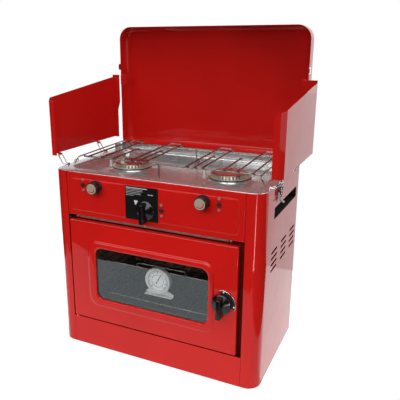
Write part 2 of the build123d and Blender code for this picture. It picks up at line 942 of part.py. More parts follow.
with BuildPart() as racks:
    left = oven_left + runner_width / 2
    right = oven_right - runner_width / 2
    near = front + rack_front_in
    far = front + rack_rear_in
    for z in (rack_upper_z, rack_lower_z):
        corners = [(left, near, z), (right, near, z), (right, far, z), (left, far, z)]
        wire(corners, rack_frame_radius, rack_bend, closed=True)
        with Locations(((left + right) / 2, (near + far) / 2, z)):
            with GridLocations((right - left) / (rack_bar_count + 1), 1, rack_bar_count, 1):
                Cylinder(rack_bar_radius, far - near, rotation=(90, 0, 0))
keep(racks.part, "racks")

with BuildPart() as heat_plate:
    plate_z = (heat_plate_z, heat_plate_z + heat_plate_thickness)
    block((oven_left, oven_right), (liner_front, liner_rear), plate_z)
    with BuildSketch(Plane.XY.offset(heat_plate_z)):
        with Locations(((oven_left + oven_right) / 2, (liner_front + liner_rear) / 2)):
            with GridLocations(heat_slot_pitch, 2 * heat_slot_length, heat_slot_count, 2):
                SlotOverall(heat_slot_length, heat_slot_width, rotation=90)
    extrude(amount=heat_plate_thickness, mode=Mode.SUBTRACT)
keep(heat_plate.part, "heat_plate")

with BuildPart() as oven_burner:
    burner_line = (oven_left + oven_right) / 2
    across(burner_line, oven_burner_z, front + oven_burner_front_in, liner_rear, oven_burner_radius)
    port_pitch = (oven_rear_in - oven_burner_front_in) / (oven_port_count + 1)
    for port in range(1, oven_port_count + 1):
        port_y = front + oven_burner_front_in + port * port_pitch
        rod(
            (burner_line - 2 * oven_burner_radius, port_y, oven_burner_z),
            (burner_line + 2 * oven_burner_radius, port_y, oven_burner_z),
            oven_port_radius, Mode.SUBTRACT,
        )
    block(
        (burner_line - oven_burner_radius, burner_line + oven_burner_radius),
        (front + oven_burner_front_in, front + oven_burner_front_in + oven_burner_foot),
        (oven_bottom, oven_burner_z),
    )
keep(oven_burner.part, "oven_burner")

# Thermometer hung on the front wire of the upper rack
case_front = front + dial_case_in
case_rear = case_front + dial_case_depth
with BuildPart() as thermometer_case:
    across(dial_x, dial_z, case_front, case_rear, dial_radius)
    across(dial_x, dial_z, case_front, case_front + dial_rim, dial_face_radius, Mode.SUBTRACT)
    hook_low = rack_upper_z + rack_frame_radius + loose_fit
    hook_far = front + rack_front_in + rack_frame_radius + loose_fit
    block(
        (dial_x - stand_half, dial_x + stand_half), (case_front, case_rear + stand_thickness),
        (stand_foot_z - stand_thickness, stand_foot_z),
    )
    with BuildSketch(Plane.XZ.offset(-case_rear)):
        with BuildLine():
            Polyline(
                (dial_x - stand_half, stand_foot_z),
                (dial_x + stand_half, stand_foot_z),
                (dial_x + stand_half, stand_foot_z + stand_edge),
                (dial_x + stand_waist_half, stand_waist_z),
                (dial_x - stand_waist_half, stand_waist_z),
                (dial_x - stand_half, stand_foot_z + stand_edge),
                close=True,
            )
        make_face()
    extrude(amount=-stand_thickness)
    block(
        (dial_x - stand_riser_half, dial_x + stand_riser_half), (case_rear, case_rear + stand_thickness),
        (stand_waist_z, hook_low + stand_thickness),
    )
    block(
        (dial_x - stand_hook_half, dial_x + stand_hook_half), (case_rear, hook_far + stand_thickness),
        (hook_low, hook_low + stand_thickness),
    )
    block(
        (dial_x - stand_hook_half, dial_x + stand_hook_half), (hook_far, hook_far + stand_thickness),
        (hook_low - 3 * rack_frame_radius, hook_low),
    )
keep(thermometer_case.part, "thermometer_case")

with BuildPart() as thermometer_dial:
    across(dial_x, dial_z, case_front + dial_rim / 2, case_front + dial_rim, dial_face_radius - running_fit)
keep(thermometer_dial.part, "thermometer_dial")

# Oven door
door_x = (door_left, door_right)
door_z = (door_bottom, door_top)
inner_face = front + door_depth


def framed(left, right, bottom, top, corner, y):
    """A rounded outline facing the front, on a plane at y."""
    with BuildSketch(Plane.XZ.offset(-y)) as outline:
        with Locations(((left + right) / 2, (bottom + top) / 2)):
            RectangleRounded(right - left, top - bottom, corner)
    return outline.sketch


window_outline = (window_left, window_right, window_bottom, window_top, window_corner)

with BuildPart() as door_skin:
    block(door_x, (front, inner_face), door_z)
    fillet(door_skin.faces().sort_by(Axis.Y)[0].edges(), door_edge)
    block(
        (door_left + sheet, door_right - sheet), (front + sheet, inner_face),
        (door_bottom + sheet, door_top - sheet), Mode.SUBTRACT,
    )
    extrude(framed(*window_outline, inner_face), amount=2 * door_depth, mode=Mode.SUBTRACT)
    across(door_knob_x, door_knob_z, front, front + sheet, door_shaft_radius + running_fit, Mode.SUBTRACT)
keep(door_skin.part, "door_skin")

with BuildPart() as window_bezel:
    extrude(
        framed(bezel_left, bezel_right, bezel_bottom, bezel_top, bezel_corner, front),
        amount=bezel_height, taper=bezel_taper,
    )
    extrude(framed(*window_outline, front), amount=bezel_height, mode=Mode.SUBTRACT)
keep(window_bezel.part, "window_bezel")

glass_outline = (
    window_left - glass_lap, window_right + glass_lap, window_bottom - glass_lap, window_top + glass_lap,
    window_corner + glass_lap,
)
glass_rear = front + sheet + glass_thickness
with BuildPart() as door_glass:
    extrude(framed(*glass_outline, glass_rear), amount=glass_thickness)
keep(door_glass.part, "door_glass")

with BuildPart() as glass_retainer:
    extrude(framed(*glass_outline, inner_face), amount=inner_face - glass_rear)
    extrude(
        framed(
            window_left - glass_lap + retainer_width, window_right + glass_lap - retainer_width,
            window_bottom - glass_lap + retainer_width, window_top + glass_lap - retainer_width,
            window_corner + glass_lap - retainer_width, inner_face,
        ),
        amount=inner_face - glass_rear, mode=Mode.SUBTRACT,
    )
keep(glass_retainer.part, "glass_retainer")

with BuildPart() as door_inner:
    block(door_x, (inner_face, inner_face + sheet), door_z)
    extrude(
        framed(
            window_left + inner_lap, window_right - inner_lap,
            window_bottom + inner_lap, window_top - inner_lap,
            window_corner - inner_lap, inner_face + sheet,
        ),
        amount=sheet, mode=Mode.SUBTRACT,
    )
    across(
        door_knob_x, door_knob_z, inner_face, inner_face + sheet, door_shaft_radius + running_fit,
        Mode.SUBTRACT,
    )
keep(door_inner.part, "door_inner")

with BuildPart() as door_seal:
    seal_y = (inner_face + sheet, inner_face + sheet + seal_thickness)
    block((seal_left, seal_right), seal_y, (seal_bottom, seal_top))
    block(
        (seal_left + seal_width, seal_right - seal_width), seal_y,
        (seal_bottom + seal_width, seal_top - seal_width), Mode.SUBTRACT,
    )
keep(door_seal.part, "door_seal")

with BuildPart() as door_pins:
    pivot_y = front + door_pivot_in
    for low in (door_top, door_bottom - door_pin_length):
        rod((door_pivot_x, pivot_y, low), (door_pivot_x, pivot_y, low + door_pin_length), door_pin_radius)
keep(door_pins.part, "door_pins")

with BuildPart() as door_brackets:
    bracket_x = (-seam_half, -seam_half + door_bracket_width)
    bracket_y = (front + door_bracket_front_in, front + frame_in)
    for low in (door_top + door_pin_length - door_bracket_thickness, door_bottom - door_pin_length):
        block(bracket_x, bracket_y, (low, low + door_bracket_thickness))
        rod(
            (door_pivot_x, pivot_y, low), (door_pivot_x, pivot_y, low + door_bracket_thickness),
            door_pin_radius + running_fit, Mode.SUBTRACT,
        )
keep(door_brackets.part, "door_brackets")

with BuildPart() as escutcheon:
    with BuildSketch(Plane.XZ.offset(-front)):
        with BuildLine():
            middle = (door_knob_x, door_knob_z)
            outer_arc = CenterArc(middle, escutcheon_outer, escutcheon_start, escutcheon_sweep)
            inner_arc = CenterArc(middle, escutcheon_inner, escutcheon_start, escutcheon_sweep)
            Line(outer_arc @ 0, inner_arc @ 0)
            Line(outer_arc @ 1, inner_arc @ 1)
        make_face()
    extrude(amount=escutcheon_thickness)
    across(door_knob_x, door_knob_z, front - bezel_height, front, escutcheon_boss)
    across(
        door_knob_x, door_knob_z, front - bezel_height, front, door_shaft_radius + running_fit, Mode.SUBTRACT
    )
keep(escutcheon.part, "escutcheon")

# Lid, a tray on edge behind the cooktop
with BuildPart() as lid:
    with BuildSketch(Plane.XZ.offset(-lid_rim_y)) as lid_outline:
        with Locations((0, (lid_low + lid_high) / 2)):
            Rectangle(2 * lid_half, lid_high - lid_low)
        fillet(lid_outline.vertices().group_by(Axis.Y)[-1], lid_top_radius)
        fillet(lid_outline.vertices().group_by(Axis.Y)[0], lid_bottom_radius)
    extrude(amount=-lid_depth)
    fillet(lid.faces().sort_by(Axis.Y)[-1].edges(), lid_back_radius)
    offset(amount=-sheet, openings=lid.faces().sort_by(Axis.Y)[0])
    for hand in (-1, 1):
        block(
            (hand * (hinge_mid - notch_half), hand * (hinge_mid + notch_half)),
            (lid_rim_y, lid_rim_y + leaf_start), (lid_low, lid_low + sheet), Mode.SUBTRACT,
        )
keep(lid.part, "lid")

leaf_y = lid_rim_y + leaf_start
with BuildPart() as hinge_leaves:
    for hand in (-1, 1):
        block(
            (hand * (hinge_mid - leaf_half), hand * (hinge_mid + leaf_half)), (leaf_y, leaf_y + leaf_length),
            (lid_low - leaf_thickness, lid_low),
        )
        with BuildSketch(Plane.YZ.offset(hand * hinge_mid)):
            with Locations((hinge_y, hinge_z)):
                Circle(knuckle_radius)
            with Locations((leaf_y + knuckle_radius / 2, lid_low - leaf_thickness / 2)):
                Rectangle(knuckle_radius, leaf_thickness)
            make_hull()
        extrude(amount=knuckle_width / 2, both=True)
        bore = (hand * (hinge_mid - knuckle_width), hand * (hinge_mid + knuckle_width))
        rod(
            (bore[0], hinge_y, hinge_z), (bore[1], hinge_y, hinge_z), hinge_pin_radius + running_fit,
            Mode.SUBTRACT,
        )
keep(hinge_leaves.part, "hinge_leaves")

with BuildPart() as hinge_brackets:
    for hand in (-1, 1):
        reach = knuckle_width / 2 + ear_gap + ear_width
        block(
            (hand * (hinge_mid - reach), hand * (hinge_mid + reach)), (rear, rear + bracket_thickness),
            (bracket_top - bracket_height, bracket_top),
        )
        for offset_x in (-reach + ear_width / 2, reach - ear_width / 2):
            with BuildSketch(Plane.YZ.offset(hand * hinge_mid + offset_x)):
                with Locations((hinge_y, hinge_z)):
                    Circle(knuckle_radius)
                with Locations((rear + bracket_thickness / 2, bracket_top - bracket_height / 4)):
                    Rectangle(bracket_thickness, bracket_height / 2)
                make_hull()
            extrude(amount=ear_width / 2, both=True)
        ends = (hand * (hinge_mid - reach - sheet), hand * (hinge_mid + reach + sheet))
        rod((ends[0], hinge_y, hinge_z), (ends[1], hinge_y, hinge_z), hinge_pin_radius)
keep(hinge_brackets.part, "hinge_brackets")

with BuildPart() as lid_catches:
    for hand in (-1, 1):
        catch_y = (hinge_y + catch_low - hinge_z, hinge_y + catch_high - hinge_z)
        block(
            (hand * lid_half, hand * (lid_half + catch_thickness)), catch_y,
            (catch_z - catch_half, catch_z + catch_half),
        )
        block(
            (hand * lid_half, hand * (lid_half + catch_ledge)), (catch_y[0], catch_y[0] + catch_thickness),
            (catch_z - catch_ledge_half, catch_z + catch_ledge_half),
        )
        block(
            (hand * (lid_half - lid_lug_reach), hand * lid_half), (lid_rim_y - sheet, lid_rim_y),
            (ear_top - lid_lug_height, ear_top),
        )
keep(lid_catches.part, "lid_catches")


# Windscreens on wire links
def windscreen(hand, name):
    """One side windscreen with its flanges, top ear and curled hinge tabs."""
    near = front + screen_front_in
    far = front + screen_rear_in
    bend = front + screen_fold_in
    with BuildPart() as screen:
        with BuildSketch(Plane.XY.offset(screen_bottom)):
            with BuildLine():
                Polyline(
                    (hand * screen_inner, near),
                    (hand * screen_fold, near),
                    (hand * screen_face, bend),
                    (hand * screen_face, far),
                    (hand * (screen_face - screen_rear_flange), far),
                    (hand * (screen_face - screen_rear_flange), far - sheet),
                    (hand * (screen_face - sheet), far - sheet),
                    (hand * (screen_face - sheet), bend + sheet / 3),
                    (hand * (screen_fold - sheet / 2), near + sheet),
                    (hand * screen_inner, near + sheet),
                    close=True,
                )
            make_face()
        extrude(amount=screen_rear_top - screen_bottom)
        with BuildSketch(Plane.YZ):
            with BuildLine():
                Polyline(
                    (near, screen_front_top),
                    (far, screen_rear_top),
                    (near, screen_rear_top),
                    close=True,
                )
            make_face()
        extrude(amount=hand * width, mode=Mode.SUBTRACT)
        with BuildSketch(Plane.XZ.offset(-near)):
            with BuildLine():
                Polyline(
                    (hand * screen_inner, screen_front_top - screen_flange_drop),
                    (hand * screen_face, screen_front_top),
                    (hand * screen_face, screen_rear_top),
                    (hand * screen_inner, screen_rear_top),
                    close=True,
                )
            make_face()
        extrude(amount=near - bend, mode=Mode.SUBTRACT)
        with BuildSketch(Plane.XZ.offset(-far)):
            with BuildLine():
                Polyline(
                    (hand * (screen_face - screen_rear_flange), ear_low),
                    (hand * screen_inner, ear_full),
                    (hand * screen_inner, ear_top),
                    (hand * screen_face, ear_top),
                    (hand * screen_face, ear_low),
                    close=True,
                )
            make_face()
            with Locations((hand * ear_slot_x, ear_slot_z)):
                SlotOverall(ear_slot_length, ear_slot_width, rotation=90, mode=Mode.SUBTRACT)
        extrude(amount=sheet)
        eye_x = hand * (link_pivot_x + link_top_out)
        eye_z = link_pivot_z + link_top_up
        for place_in in link_ins:
            y = front + place_in
            rod((eye_x, y - tab_half, eye_z), (eye_x, y + tab_half, eye_z), tab_radius)
            block(
                (eye_x, hand * screen_face), (y - tab_half, y + tab_half),
                (eye_z + tab_radius - sheet, eye_z + tab_radius),
            )
            rod(
                (eye_x, y - tab_half, eye_z), (eye_x, y + tab_half, eye_z), link_radius + running_fit,
                Mode.SUBTRACT,
            )
    keep(screen.part, name)


windscreen(-1, "screen_left")
windscreen(1, "screen_right")


def screen_links(hand, name):
    """The two wire links that carry one windscreen."""
    with BuildPart() as links:
        for place_in in link_ins:
            y_ends = (front + place_in - link_half, front + place_in + link_half)
            low = [(hand * link_pivot_x, y, link_pivot_z) for y in y_ends]
            knee = [(hand * (link_pivot_x + link_level), y, z) for _, y, z in low]
            top = [(hand * (link_pivot_x + link_top_out), y, z + link_top_up) for _, y, z in low]
            wire([low[0], knee[0], top[0], top[1], knee[1], low[1]], link_radius, link_bend, closed=True)
    keep(links.part, name)


screen_links(-1, "screen_links_left")
screen_links(1, "screen_links_right")

with BuildPart() as screen_lugs:
    for hand in (-1, 1):
        for place_in in link_ins:
            lug_y = (front + place_in - lug_half, front + place_in + lug_half)
            block((hand * lug_inner, hand * lug_outer), lug_y, (height + sheet, lug_top))
            rod(
                (hand * link_pivot_x, lug_y[0], link_pivot_z), (hand * link_pivot_x, lug_y[1], link_pivot_z),
                link_radius + running_fit, Mode.SUBTRACT,
            )
keep(screen_lugs.part, "screen_lugs")

# Side latches
with BuildPart() as latch_bases:
    for hand in (-1, 1):
        block(
            (hand * half, hand * (half + latch_plate)), (latch_y - latch_half, latch_y + latch_half),
            (latch_low, latch_high),
        )
        for turn in (-1, 1):
            ear_y = (latch_y + turn * latch_ear_in, latch_y + turn * (latch_ear_in + latch_ear))
            block(
                (hand * half, hand * latch_pivot_x), ear_y,
                (latch_pivot_z - latch_ear_radius, latch_pivot_z + latch_ear_radius),
            )
            ear_ends = [(hand * latch_pivot_x, y, latch_pivot_z) for y in ear_y]
            rod(*ear_ends, latch_ear_radius)
            rod(*ear_ends, latch_pin_radius + running_fit, Mode.SUBTRACT)
keep(latch_bases.part, "latch_bases")


def latch_lever(hand, name):
    """One latch lever: pivot pin, knuckle, strip with flared tip and the lug of its bail."""
    with BuildPart() as lever:
        pin = latch_ear_in + latch_ear
        pivot_x = hand * latch_pivot_x
        pin_ends = [(pivot_x, y, latch_pivot_z) for y in (latch_y - pin, latch_y + pin)]
        rod(*pin_ends, latch_pin_radius)
        with BuildSketch(Plane.XZ.offset(-latch_y)):
            with Locations((hand * latch_pivot_x, latch_pivot_z)):
                Circle(lever_knuckle)
            with BuildLine():
                Polyline(
                    (hand * latch_pivot_x, latch_pivot_z + lever_knuckle),
                    (hand * (latch_pivot_x + lever_knuckle), latch_pivot_z),
                    (hand * (lever_inner + lever_thickness), lever_tip_z + lever_thickness),
                    (hand * lever_flare_x, lever_flare_z + lever_thickness),
                    (hand * lever_flare_x, lever_flare_z),
                    (hand * lever_inner, lever_tip_z),
                    (hand * latch_pivot_x, latch_pivot_z - lever_knuckle),
                    close=True,
                )
            make_face()
        extrude(amount=lever_half, both=True)
        block(
            (hand * lever_inner, hand * (bail_x + bail_lug)), (latch_y - lever_half, latch_y + lever_half),
            (bail_z - bail_lug, bail_z + bail_lug),
        )
        rod(
            (hand * bail_x, latch_y - lever_half, bail_z), (hand * bail_x, latch_y + lever_half, bail_z),
            bail_radius + running_fit, Mode.SUBTRACT,
        )
    keep(lever.part, name)


def latch_bail(hand, name):
    """One wire bail, hinged in the lever."""
    with BuildPart() as bail:
        x = hand * bail_x
        low = [(x, latch_y + turn * bail_half, bail_z) for turn in (-1, 1)]
        top = [(x, y, bail_z + bail_length) for _, y, _ in low]
        wire([low[0], top[0], top[1], low[1]], bail_radius, bail_bend, closed=True)
    keep(bail.part, name)


for hand, hand_name in ((-1, "left"), (1, "right")):
    latch_lever(hand, "latch_lever_" + hand_name)
    latch_bail(hand, "latch_bail_" + hand_name)
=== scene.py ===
# %% [markdown]
# # A red camping stove with an oven below
# The stove is pressed sheet steel, sprayed glossy red, with a bare steel cooktop and chromed wire.
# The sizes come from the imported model, which is loaded first and never moved. Each cell after that
# takes one finish or one piece of the stove, says what it is on the real thing, and builds it.

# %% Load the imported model
import json
from math import radians

import bpy
import numpy as np
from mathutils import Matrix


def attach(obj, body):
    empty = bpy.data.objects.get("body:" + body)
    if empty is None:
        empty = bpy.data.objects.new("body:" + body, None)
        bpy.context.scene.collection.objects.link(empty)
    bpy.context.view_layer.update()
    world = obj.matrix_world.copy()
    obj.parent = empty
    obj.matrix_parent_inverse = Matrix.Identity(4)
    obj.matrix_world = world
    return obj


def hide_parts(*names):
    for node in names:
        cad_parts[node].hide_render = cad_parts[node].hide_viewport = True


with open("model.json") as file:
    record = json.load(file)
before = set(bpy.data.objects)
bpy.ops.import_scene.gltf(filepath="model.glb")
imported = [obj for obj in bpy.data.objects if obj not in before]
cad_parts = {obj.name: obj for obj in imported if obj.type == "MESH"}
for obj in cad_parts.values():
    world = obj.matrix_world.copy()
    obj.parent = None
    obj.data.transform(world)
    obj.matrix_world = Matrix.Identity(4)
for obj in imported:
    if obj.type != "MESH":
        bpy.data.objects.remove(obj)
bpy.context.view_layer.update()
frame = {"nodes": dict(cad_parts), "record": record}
nodes = frame["nodes"]

# %% [markdown]
# The photograph was taken from the front right, a little above the cooktop. The lens was fitted to the
# straight edges of the body. The stove isn't centred on the lens axis, so the camera has a small shift
# instead of a turn, which keeps the upright edges as they are in the photograph.

# %% Camera
CAMERA_PLACE = (0.5114, -1.0668, 0.7210)
CAMERA_PITCH = 15.96
CAMERA_TURN = 25.404
CAMERA_LENS = 46.12
CAMERA_SHIFT = (0.05, -0.0233)

camera_data = bpy.data.cameras.new("camera")
camera_data.lens = CAMERA_LENS
camera_data.shift_x, camera_data.shift_y = CAMERA_SHIFT
camera = bpy.data.objects.new("camera", camera_data)
camera.location = CAMERA_PLACE
camera.rotation_euler = (radians(90 - CAMERA_PITCH), 0, radians(CAMERA_TURN))
bpy.context.scene.collection.objects.link(camera)
bpy.context.scene.camera = camera
bpy.context.scene.view_settings.view_transform = "Standard"
print("camera lens", camera_data.lens)

# %% [markdown]
# Glossy paint shows its surroundings, so the studio matters as much as the paint. In the photograph the
# lower half of the door is hazy and the upper half deep red, and the right side is pale. So the stove stands
# on white paper that ends about half a metre in front of it, in a darker room that is open to white at the
# back and at the right. The eye sees white everywhere, and the paint sees the paper and the room.

# %% World, paper and room
WORLD_LIGHT = 0.35
PAPER_LEFT, PAPER_RIGHT, PAPER_FAR = -0.75, 0.45, 7.0
PAPER_FRONT, PAPER_MIDDLE, PAPER_BACK = -0.59, -0.1, 0.5
PAPER_WHITE, ROOM_DARK = (0.85, 0.85, 0.85), (0.05, 0.045, 0.04)
APRON_GLOW, SIDE_GLOW, BACK_GLOW = 0.75, 1.25, 0.85
ROOM_LEFT, ROOM_FRONT, ROOM_BACK, ROOM_RIGHT, ROOM_HIGH = -3.5, -4.0, 1.5, 7.0, 2.8
ROOM_GLOW, WINDOW_LIGHT = 0.012, 0.9
GAUZE_FRONT, GAUZE_LOW, GAUZE_HIGH, GAUZE_SIDES, GAUZE_SHADE = -0.75, 0.94, 1.6, (-1.6, 0.9), 0.2
SEEN_BY = ("Is Camera Ray", "Is Glossy Ray", "Is Transmission Ray")


def joined(tree, operation, first, second):
    """Two values joined by one operation."""
    node = tree.nodes.new("ShaderNodeMath")
    node.operation = operation
    tree.links.new(first, node.inputs[0])
    tree.links.new(second, node.inputs[1])
    return node.outputs[0]


def ray_share(tree, *kinds):
    """A value that is one for these kinds of ray and zero for the others."""
    path = tree.nodes.new("ShaderNodeLightPath")
    share = path.outputs[kinds[0]]
    for kind in kinds[1:]:
        share = joined(tree, "MAXIMUM", share, path.outputs[kind])
    return share


def carried(tree, value, low, high, start=0.0, end=1.0):
    """A value between start and end, carried to one between low and high."""
    span = tree.nodes.new("ShaderNodeMapRange")
    span.inputs["From Min"].default_value = start
    span.inputs["From Max"].default_value = end
    span.inputs["To Min"].default_value = low
    span.inputs["To Max"].default_value = high
    tree.links.new(value, span.inputs["Value"])
    return span.outputs["Result"]


def white_world():
    """White to the eye and in reflections, softer as a lamp."""
    world = bpy.data.worlds.new("studio")
    world.use_nodes = True
    tree = world.node_tree
    sky = tree.nodes["Background"]
    sky.inputs["Color"].default_value = (1, 1, 1, 1)
    strength = carried(tree, ray_share(tree, *SEEN_BY), WORLD_LIGHT, 1.0)
    tree.links.new(strength, sky.inputs["Strength"])
    return world


def blank(name):
    """A material with no shader yet, and the socket for it."""
    material = bpy.data.materials.new(name)
    material.use_nodes = True
    tree = material.node_tree
    tree.nodes.clear()
    return material, tree, tree.nodes.new("ShaderNodeOutputMaterial").inputs["Surface"]


def paper(name, colour, glow, through):
    """Matt paper: white to the eye, with its own glow in reflections and its own light into the oven."""
    material, tree, out = blank(name)
    matt = tree.nodes.new("ShaderNodeBsdfDiffuse")
    matt.inputs["Color"].default_value = (*colour, 1)
    light = tree.nodes.new("ShaderNodeEmission")
    through_glass = ray_share(tree, "Is Transmission Ray")
    inside = joined(tree, "MULTIPLY", through_glass, ray_share(tree, "Diffuse Depth"))
    to_eye = carried(tree, ray_share(tree, "Is Camera Ray"), glow, 1.0)
    to_oven = carried(tree, inside, glow, through)
    tree.links.new(joined(tree, "MAXIMUM", to_eye, to_oven), light.inputs["Strength"])
    mix = tree.nodes.new("ShaderNodeMixShader")
    tree.links.new(ray_share(tree, *SEEN_BY), mix.inputs["Fac"])
    tree.links.new(matt.outputs[0], mix.inputs[1])
    tree.links.new(light.outputs[0], mix.inputs[2])
    tree.links.new(mix.outputs[0], out)
    return material


def gauze():
    """Cloth that lets part of the light through."""
    material, tree, out = blank("gauze")
    cloth = tree.nodes.new("ShaderNodeBsdfTransparent")
    cloth.inputs["Color"].default_value = (GAUZE_SHADE, GAUZE_SHADE, GAUZE_SHADE, 1)
    tree.links.new(cloth.outputs[0], out)
    return material


def new_piece(name, points, faces, material):
    """An object with a mesh of its own, its points in metres."""
    mesh = bpy.data.meshes.new(name)
    mesh.from_pydata(points, [], faces)
    mesh.materials.append(material)
    piece = bpy.data.objects.new(name, mesh)
    bpy.context.scene.collection.objects.link(piece)
    return piece


def stage_piece(name, corners, faces, material):
    """Flat panels that aren't part of the stove."""
    panel = new_piece(name, corners, faces, material)
    return panel


def rectangle(x, y):
    """Corners on the floor, counterclockwise from above."""
    return [(x[0], y[0], 0), (x[1], y[0], 0), (x[1], y[1], 0), (x[0], y[1], 0)]


bpy.context.scene.world = white_world()
PAPERS = {
    "apron": ((PAPER_LEFT, PAPER_RIGHT), (PAPER_FRONT, PAPER_MIDDLE), APRON_GLOW),
    "side_paper": ((PAPER_LEFT, PAPER_RIGHT), (PAPER_MIDDLE, PAPER_BACK), SIDE_GLOW),
    "back_paper": ((PAPER_LEFT, PAPER_FAR), (PAPER_BACK, PAPER_FAR), BACK_GLOW),
}
for name, (x, y, glow) in PAPERS.items():
    stage_piece(name, rectangle(x, y), [(0, 1, 2, 3)], paper("white_" + name, PAPER_WHITE, glow, glow))
room_corners = [
    *rectangle((ROOM_LEFT, ROOM_RIGHT), (ROOM_FRONT, PAPER_FRONT)),
    *rectangle((ROOM_LEFT, PAPER_LEFT), (PAPER_FRONT, ROOM_BACK)),
    *rectangle((PAPER_RIGHT, ROOM_RIGHT), (PAPER_FRONT, PAPER_BACK)),
    (ROOM_LEFT, ROOM_FRONT, ROOM_HIGH), (ROOM_RIGHT, ROOM_FRONT, ROOM_HIGH),
    (ROOM_RIGHT, ROOM_BACK, ROOM_HIGH), (ROOM_LEFT, ROOM_BACK, ROOM_HIGH),
]
room_faces = [(0, 1, 2, 3), (4, 5, 6, 7), (8, 9, 10, 11), (15, 14, 13, 12), (1, 0, 12, 13), (0, 7, 15, 12)]
stage_piece("room", room_corners, room_faces, paper("dark_room", ROOM_DARK, ROOM_GLOW, WINDOW_LIGHT))
gauze_corners = [(x, GAUZE_FRONT, z) for z in (GAUZE_LOW, GAUZE_HIGH) for x in GAUZE_SIDES]
gauze_panel = stage_piece("gauze", gauze_corners, [(0, 1, 3, 2)], gauze())
gauze_panel.visible_camera = False
print("papers", sorted(PAPERS), "and a dark room")

# %% [markdown]
# The lamps are soft. A broad one high at the front left models the front, and a gauze keeps most of it off
# the lid. One overhead lights the cooktop and a weak one fills the right side. A thin strip lies on the
# floor at the front right and draws the long streak down the rounded corner. A sky picture could light the
# stove too, but a few lamps can each be placed for the one gleam that they make.

# %% Lamps
LAMPS = {
    "front": {"place": (-0.35, -1.75, 1.62), "aim": (0, -0.14, 0.25), "size": (2.8, 1.4), "power": 45},
    "top": {"place": (0.1, -0.3, 2.2), "aim": (0, 0, 0.4), "size": (1.2, 1.0), "power": 10},
    "right": {"place": (2.2, -0.3, 1.4), "aim": (0.25, 0, 0.2), "size": (1.0, 1.0), "power": 12},
}
STRIP = {"place": (0.82, -1.06, 0.03), "along": (0.6, -0.85), "size": (0.08, 1.1), "power": 3.0}


def lamp(name, place, turn, size, power):
    """A rectangular lamp, unseen by the camera itself."""
    data = bpy.data.lights.new("lamp_" + name, "AREA")
    data.shape = "RECTANGLE"
    data.size, data.size_y = size
    data.energy = power
    fitting = bpy.data.objects.new("lamp_" + name, data)
    fitting.location = place
    fitting.rotation_euler = turn
    fitting.visible_camera = False
    bpy.context.scene.collection.objects.link(fitting)


def facing(place, aim):
    """The turn of a lamp that faces a point."""
    toward = np.subtract(aim, place)
    flat = np.hypot(toward[0], toward[1])
    return (np.arctan2(flat, -toward[2]), 0, np.arctan2(-toward[0], toward[1]))


for name, settings in LAMPS.items():
    turn = facing(settings["place"], settings["aim"])
    lamp(name, settings["place"], turn, settings["size"], settings["power"])
strip_turn = (np.pi, 0, np.arctan2(STRIP["along"][1], STRIP["along"][0]) - np.pi / 2)
lamp("strip", STRIP["place"], strip_turn, STRIP["size"], STRIP["power"])
print("lamps", sorted(LAMPS), "and a strip")

# %% [markdown]
# Every finish starts from one surface shader. Small helpers add what most finishes share: a noise that
# drifts the colour or the roughness over the surface, and a fine bump. Photographs of metal could be laid on
# instead, but noise has no seams and no edges, and it fits a piece of any shape.

# %% Helpers for finishes
NOISE_LOW, NOISE_HIGH = 0.3, 0.7
TONE_LOW, TONE_HIGH = 0.35, 0.65


def finish(name, colour, roughness, metallic=0.0):
    """A new material with its shader, ready for noise and bump."""
    material = bpy.data.materials.new(name)
    material.use_nodes = True
    shader = material.node_tree.nodes["Principled BSDF"]
    shader.inputs["Base Color"].default_value = (*colour, 1)
    shader.inputs["Roughness"].default_value = roughness
    shader.inputs["Metallic"].default_value = metallic
    return material, material.node_tree, shader


def object_noise(tree, scale, detail=3.0, stretch=(1, 1, 1)):
    """Noise in the stove's own metres, drawn out along an axis by stretch."""
    place = tree.nodes.new("ShaderNodeTexCoord")
    mapping = tree.nodes.new("ShaderNodeMapping")
    mapping.inputs["Scale"].default_value = stretch
    noise = tree.nodes.new("ShaderNodeTexNoise")
    noise.inputs["Scale"].default_value = scale
    noise.inputs["Detail"].default_value = detail
    tree.links.new(place.outputs["Object"], mapping.inputs["Vector"])
    tree.links.new(mapping.outputs["Vector"], noise.inputs["Vector"])
    return noise.outputs["Fac"]


def drift(tree, value, low, high, shader):
    """Carry a noise into a roughness between low and high."""
    tree.links.new(carried(tree, value, low, high, NOISE_LOW, NOISE_HIGH), shader.inputs["Roughness"])


def two_tone(tree, value, first, second, shader):
    """Carry a noise into a colour between two close tones."""
    ramp = tree.nodes.new("ShaderNodeValToRGB")
    ramp.color_ramp.elements[0].position = TONE_LOW
    ramp.color_ramp.elements[0].color = (*first, 1)
    ramp.color_ramp.elements[1].position = TONE_HIGH
    ramp.color_ramp.elements[1].color = (*second, 1)
    tree.links.new(value, ramp.inputs["Fac"])
    tree.links.new(ramp.outputs["Color"], shader.inputs["Base Color"])


def fine_bump(tree, value, depth, shader):
    """Raise the surface by a noise, up to a depth in metres."""
    bump = tree.nodes.new("ShaderNodeBump")
    bump.inputs["Strength"].default_value = 1.0
    bump.inputs["Distance"].default_value = depth
    tree.links.new(value, bump.inputs["Height"])
    tree.links.new(bump.outputs["Normal"], shader.inputs["Normal"])


def worn(name, colour, roughness, metallic, rough, tones=None):
    """A finish whose roughness drifts, and its colour too where tones are given. Rough is the scale of the
    noise with a low and a high roughness, and tones is the scale of the noise with two colours."""
    material, tree, shader = finish(name, colour, roughness, metallic)
    if tones:
        two_tone(tree, object_noise(tree, tones[0]), *tones[1:], shader)
    drift(tree, object_noise(tree, rough[0]), *rough[1:], shader)
    return material


print("finish helpers ready")
